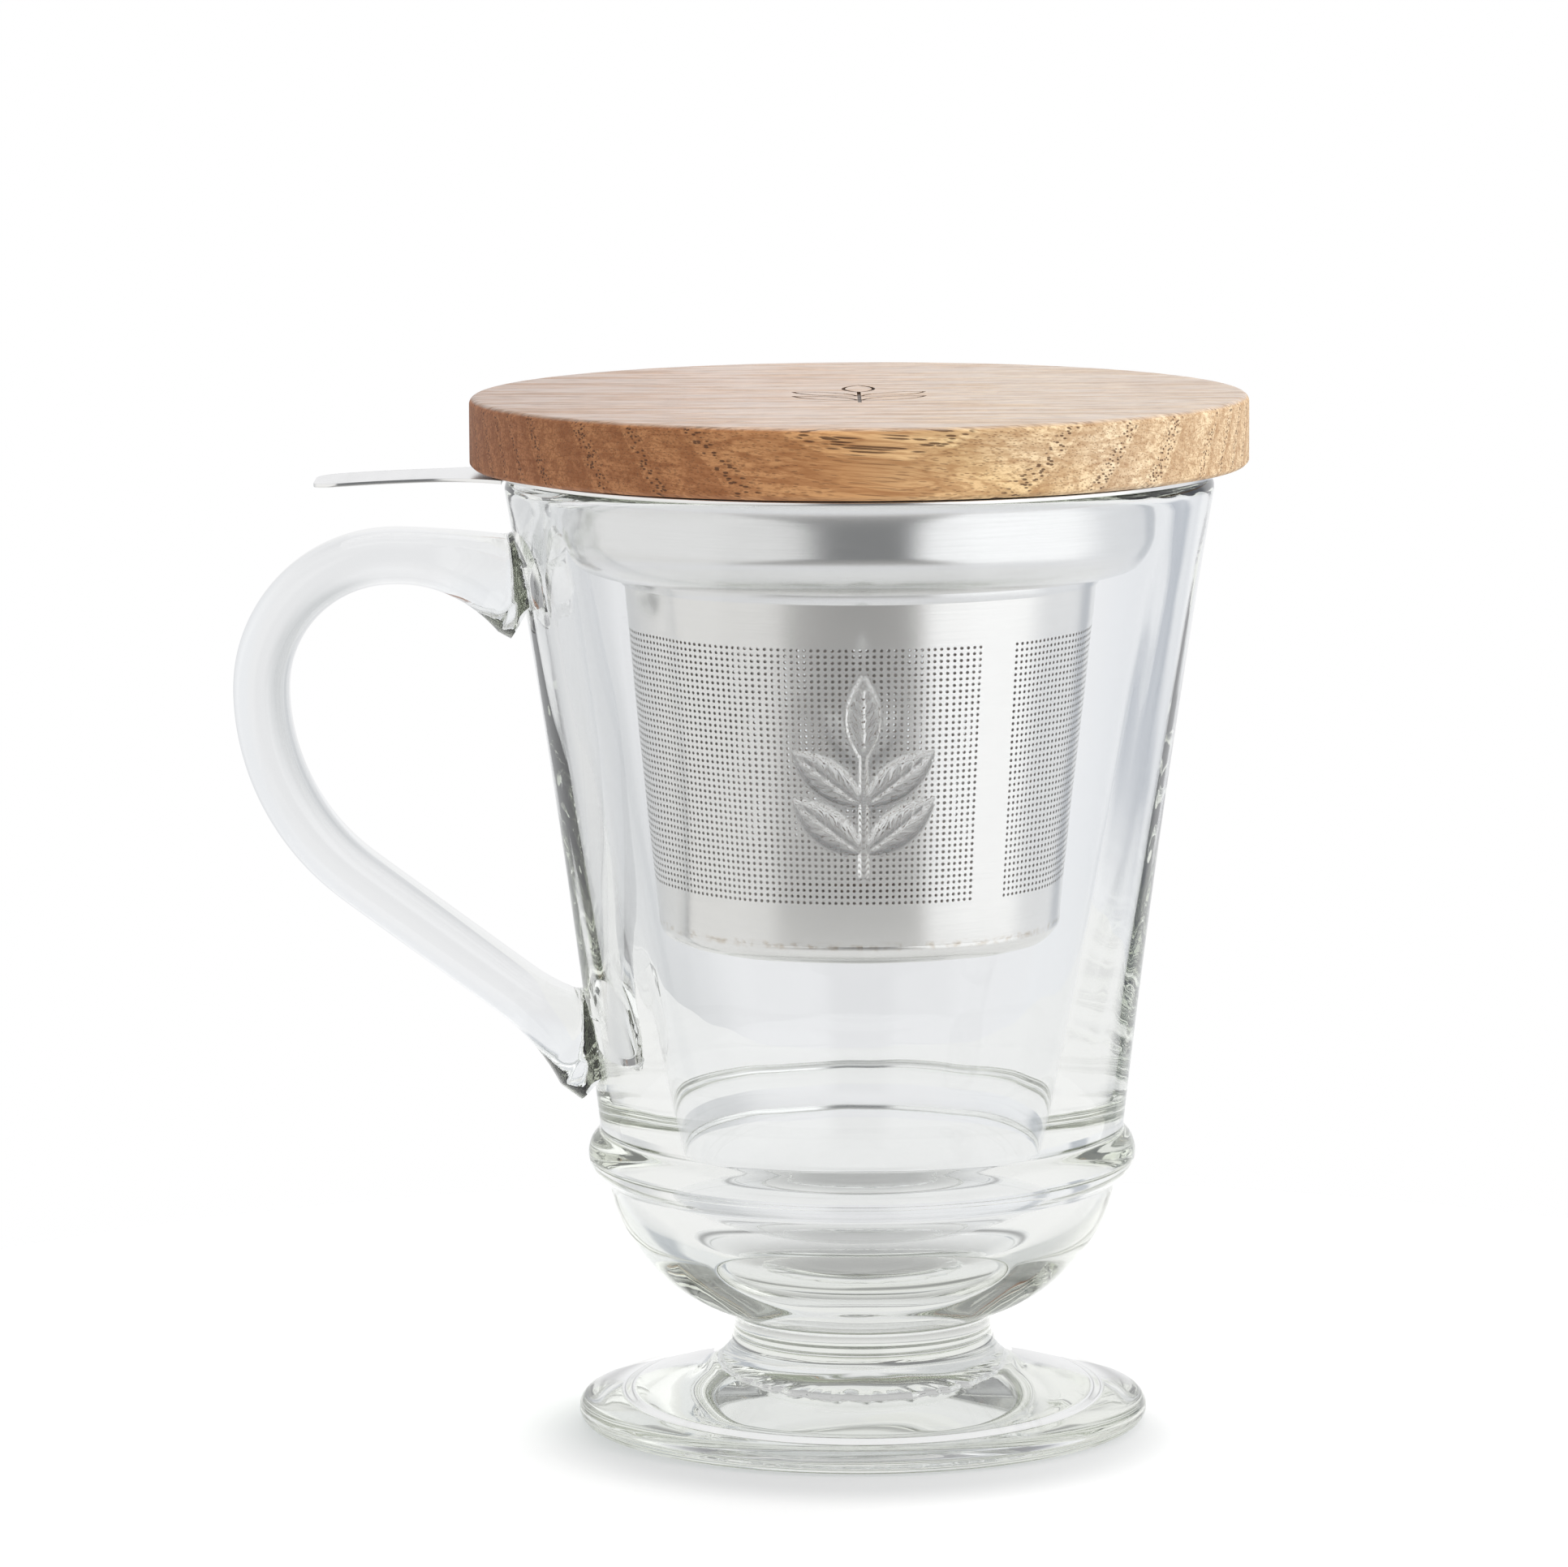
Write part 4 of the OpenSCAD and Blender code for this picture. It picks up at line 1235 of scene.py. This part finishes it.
def oak():
    """Oak in the round: rings about a far centre, with pores and fibres along X."""
    net = Finish("oiled_oak")
    x, y, z = net.axes(net.point())
    across = y - x * GRAIN_ASIDE
    up = z + x * GRAIN_DOWN
    dy, dz = across - PITH_Y, up - PITH_Z
    wander = net.noise_at(x * 0.02, y * 0.06, z * 0.06, 2.0, 0.5) - 0.5
    radius = (dy * dy + dz * dz) ** 0.5 + wander * 1.6
    shifted = radius + radius.bump_at(CLOSE_R, CLOSE_SPAN) * CLOSE_SHIFT
    # From 0 where a year begins to 1 where it ends; its large pores lie at the start.
    # The 40 keeps the count of years above 0.
    year = ((shifted - FIRST_RING) / YEAR + 40.0 + EARLY_SHARE).fraction()
    early = year.step(0.0, 0.05) * year.step(0.36, 0.2)
    late = year.step(0.45, 0.95) * year.step(1.0, 0.97)

    def pores(long, wide, low, high):
        cells = net.node("ShaderNodeTexVoronoi", {"feature": "F1"}, {
            "Vector": net.joined(x * long, across * wide, up * wide), "Scale": 1.0,
            "Randomness": 1.0})
        return cells.step(high, low)

    large = pores(0.07, 2.6, 0.26, 0.42) * (early * 0.97 + 0.03)
    small = pores(0.09, 4.0, 0.2, 0.36) * (1.0 - early * 0.5)
    fibre = net.noise_at(x * 0.12, across * 2.6, up * 2.6, 3.0, 0.7)
    streak = net.noise_at(x * 0.02, across * 0.9, up * 0.9, 3.0, 0.6)
    broad = net.noise_at(x * 0.012 + 3.0, across * 0.09, up * 0.12, 2.0, 0.5)
    # Rays run towards the pith, and show as long thin lines on the flanks.
    folds = net.noise_at(x * 0.022, y * 0.05, up * 0.3, 1.0, 0.5)
    rays = (folds * 14.0).fraction().bump_at(0.5, 0.13)

    # Painted light and shade: darker brown at the handle's side, -X, paler at the lit side, +X.
    colour = net.ramp(x / 104.0 + broad * 0.3 + 0.35, [
        (0.02, (0.53, 0.225, 0.1)), (0.3, (0.67, 0.315, 0.135)), (0.48, (0.76, 0.42, 0.185)),
        (0.66, (0.86, 0.62, 0.335)), (0.82, (0.86, 0.69, 0.47)), (0.96, (0.79, 0.6, 0.38))])
    shade = net.mix(1.0, colour, (0.5, 0.38, 0.3), "MULTIPLY")
    colour = net.mix(streak.step(0.44, 0.6) * 0.55, colour, shade)
    colour = net.mix(late * 0.5, colour, shade)
    colour = net.mix(fibre.step(0.42, 0.66) * 0.6, colour, shade)
    colour = net.mix(rays * 0.55, colour, shade)
    colour = net.mix(small * 0.5, colour, (0.2, 0.09, 0.036))
    colour = net.mix(large * 0.85, colour, (0.085, 0.034, 0.014))
    # Painted sheen makes the top paler and greyer, painted shade darker at -X; its pores run
    # lengthwise.
    top = z.step(LID_TOP - 0.5, LID_TOP - 0.1)
    top_grain_and_painted_sheen = net.mix(0.6, colour, net.ramp(x / 104.0 + 0.5, [
        (0.08, (0.46, 0.36, 0.28)), (0.35, (0.68, 0.56, 0.46)), (0.9, (0.68, 0.55, 0.44))]))
    bands = net.noise_at(x * 0.01, y * 0.3, 2.0, 2.0, 0.6).step(0.4, 0.65)
    long_pores = net.noise_at(x * 0.055, y * 1.2, 0.0, 3.0, 0.7).step(0.48, 0.62)
    short_pores = net.noise_at(x * 0.22, y * 2.6, 5.0, 3.0, 0.75).step(0.48, 0.62)
    top_grain_and_painted_sheen = net.mix(bands * 0.3, top_grain_and_painted_sheen, (0.36, 0.23, 0.15))
    top_grain_and_painted_sheen = net.mix(long_pores * 0.5, top_grain_and_painted_sheen, (0.3, 0.18, 0.11))
    top_grain_and_painted_sheen = net.mix(short_pores * 0.6, top_grain_and_painted_sheen, (0.2, 0.11, 0.065))
    colour = net.mix(top, colour, top_grain_and_painted_sheen)
    # Open pores break up the sheen of the top.
    closed = net.noise_at(x * 0.04, y * 0.36, 8.0, 3.0, 0.75).step(0.42, 0.56)
    sheen = top * (closed * 0.85 + 0.1)
    # Burnt floor and walls of the engraving.
    from_axis = (x * x + y * y) ** 0.5
    cut = z.step(LID_TOP - 0.02, LID_TOP - 0.06) * from_axis.step(20.0, 19.0)
    cut = cut * z.step(LID_TOP - 1.0, LID_TOP - 0.9)
    colour = net.mix(cut * 0.9, colour, (0.05, 0.025, 0.012))
    height = 1.0 - large * 0.8 - small * 0.3 - fibre * 0.25
    roughness = 0.52 + fibre * 0.15 - top * 0.16
    surface = net.principled(Base_Color=colour, Roughness=roughness, IOR=1.45,
                             Coat_Weight=sheen, Coat_Roughness=0.3,
                             Normal=net.bump(height, 0.14, 0.8))
    return net.done(surface)


def silicone():
    net = Finish("dark_silicone")
    grain = net.noise(net.point(), 4.0, 2.0, 0.6)
    cloud = net.noise(net.point(), 0.2, 2.0, 0.5)
    colour = net.mix(cloud, (0.018, 0.018, 0.019), (0.035, 0.034, 0.033))
    surface = net.principled(Base_Color=colour, Roughness=grain * 0.15 + 0.45, IOR=1.42,
                             Normal=net.bump(grain, 0.01, 0.5))
    return net.done(surface)


# ==== The object ====
make_camera()
make_studio()

glass = make_glass()
paint(glass, clear_glass())
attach(glass, "mug")
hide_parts("glass_bowl", "glass_foot", "glass_handle", "glass_sprig")

collar = make_rim()
paint(collar, steel("satin_steel", (0.86, 0.86, 0.855), 0.18))
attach(collar, "infuser")
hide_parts("infuser_rim")

sleeve_finish = steel("sleeve_steel", (0.88, 0.872, 0.855), 0.2, stain=True)
panels = make_sleeve(sleeve_finish)
for panel in panels:
    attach(panel, "infuser")
    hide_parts("infuser_sleeve")

pan = make_base()
paint(pan, sleeve_finish)
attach(pan, "infuser")
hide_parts("infuser_base")

lid = make_lid()
paint(lid, oak())
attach(lid, "lid")
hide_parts("lid_disc")

seal = make_seal()
paint(seal, silicone())
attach(seal, "lid")
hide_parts("lid_seal")
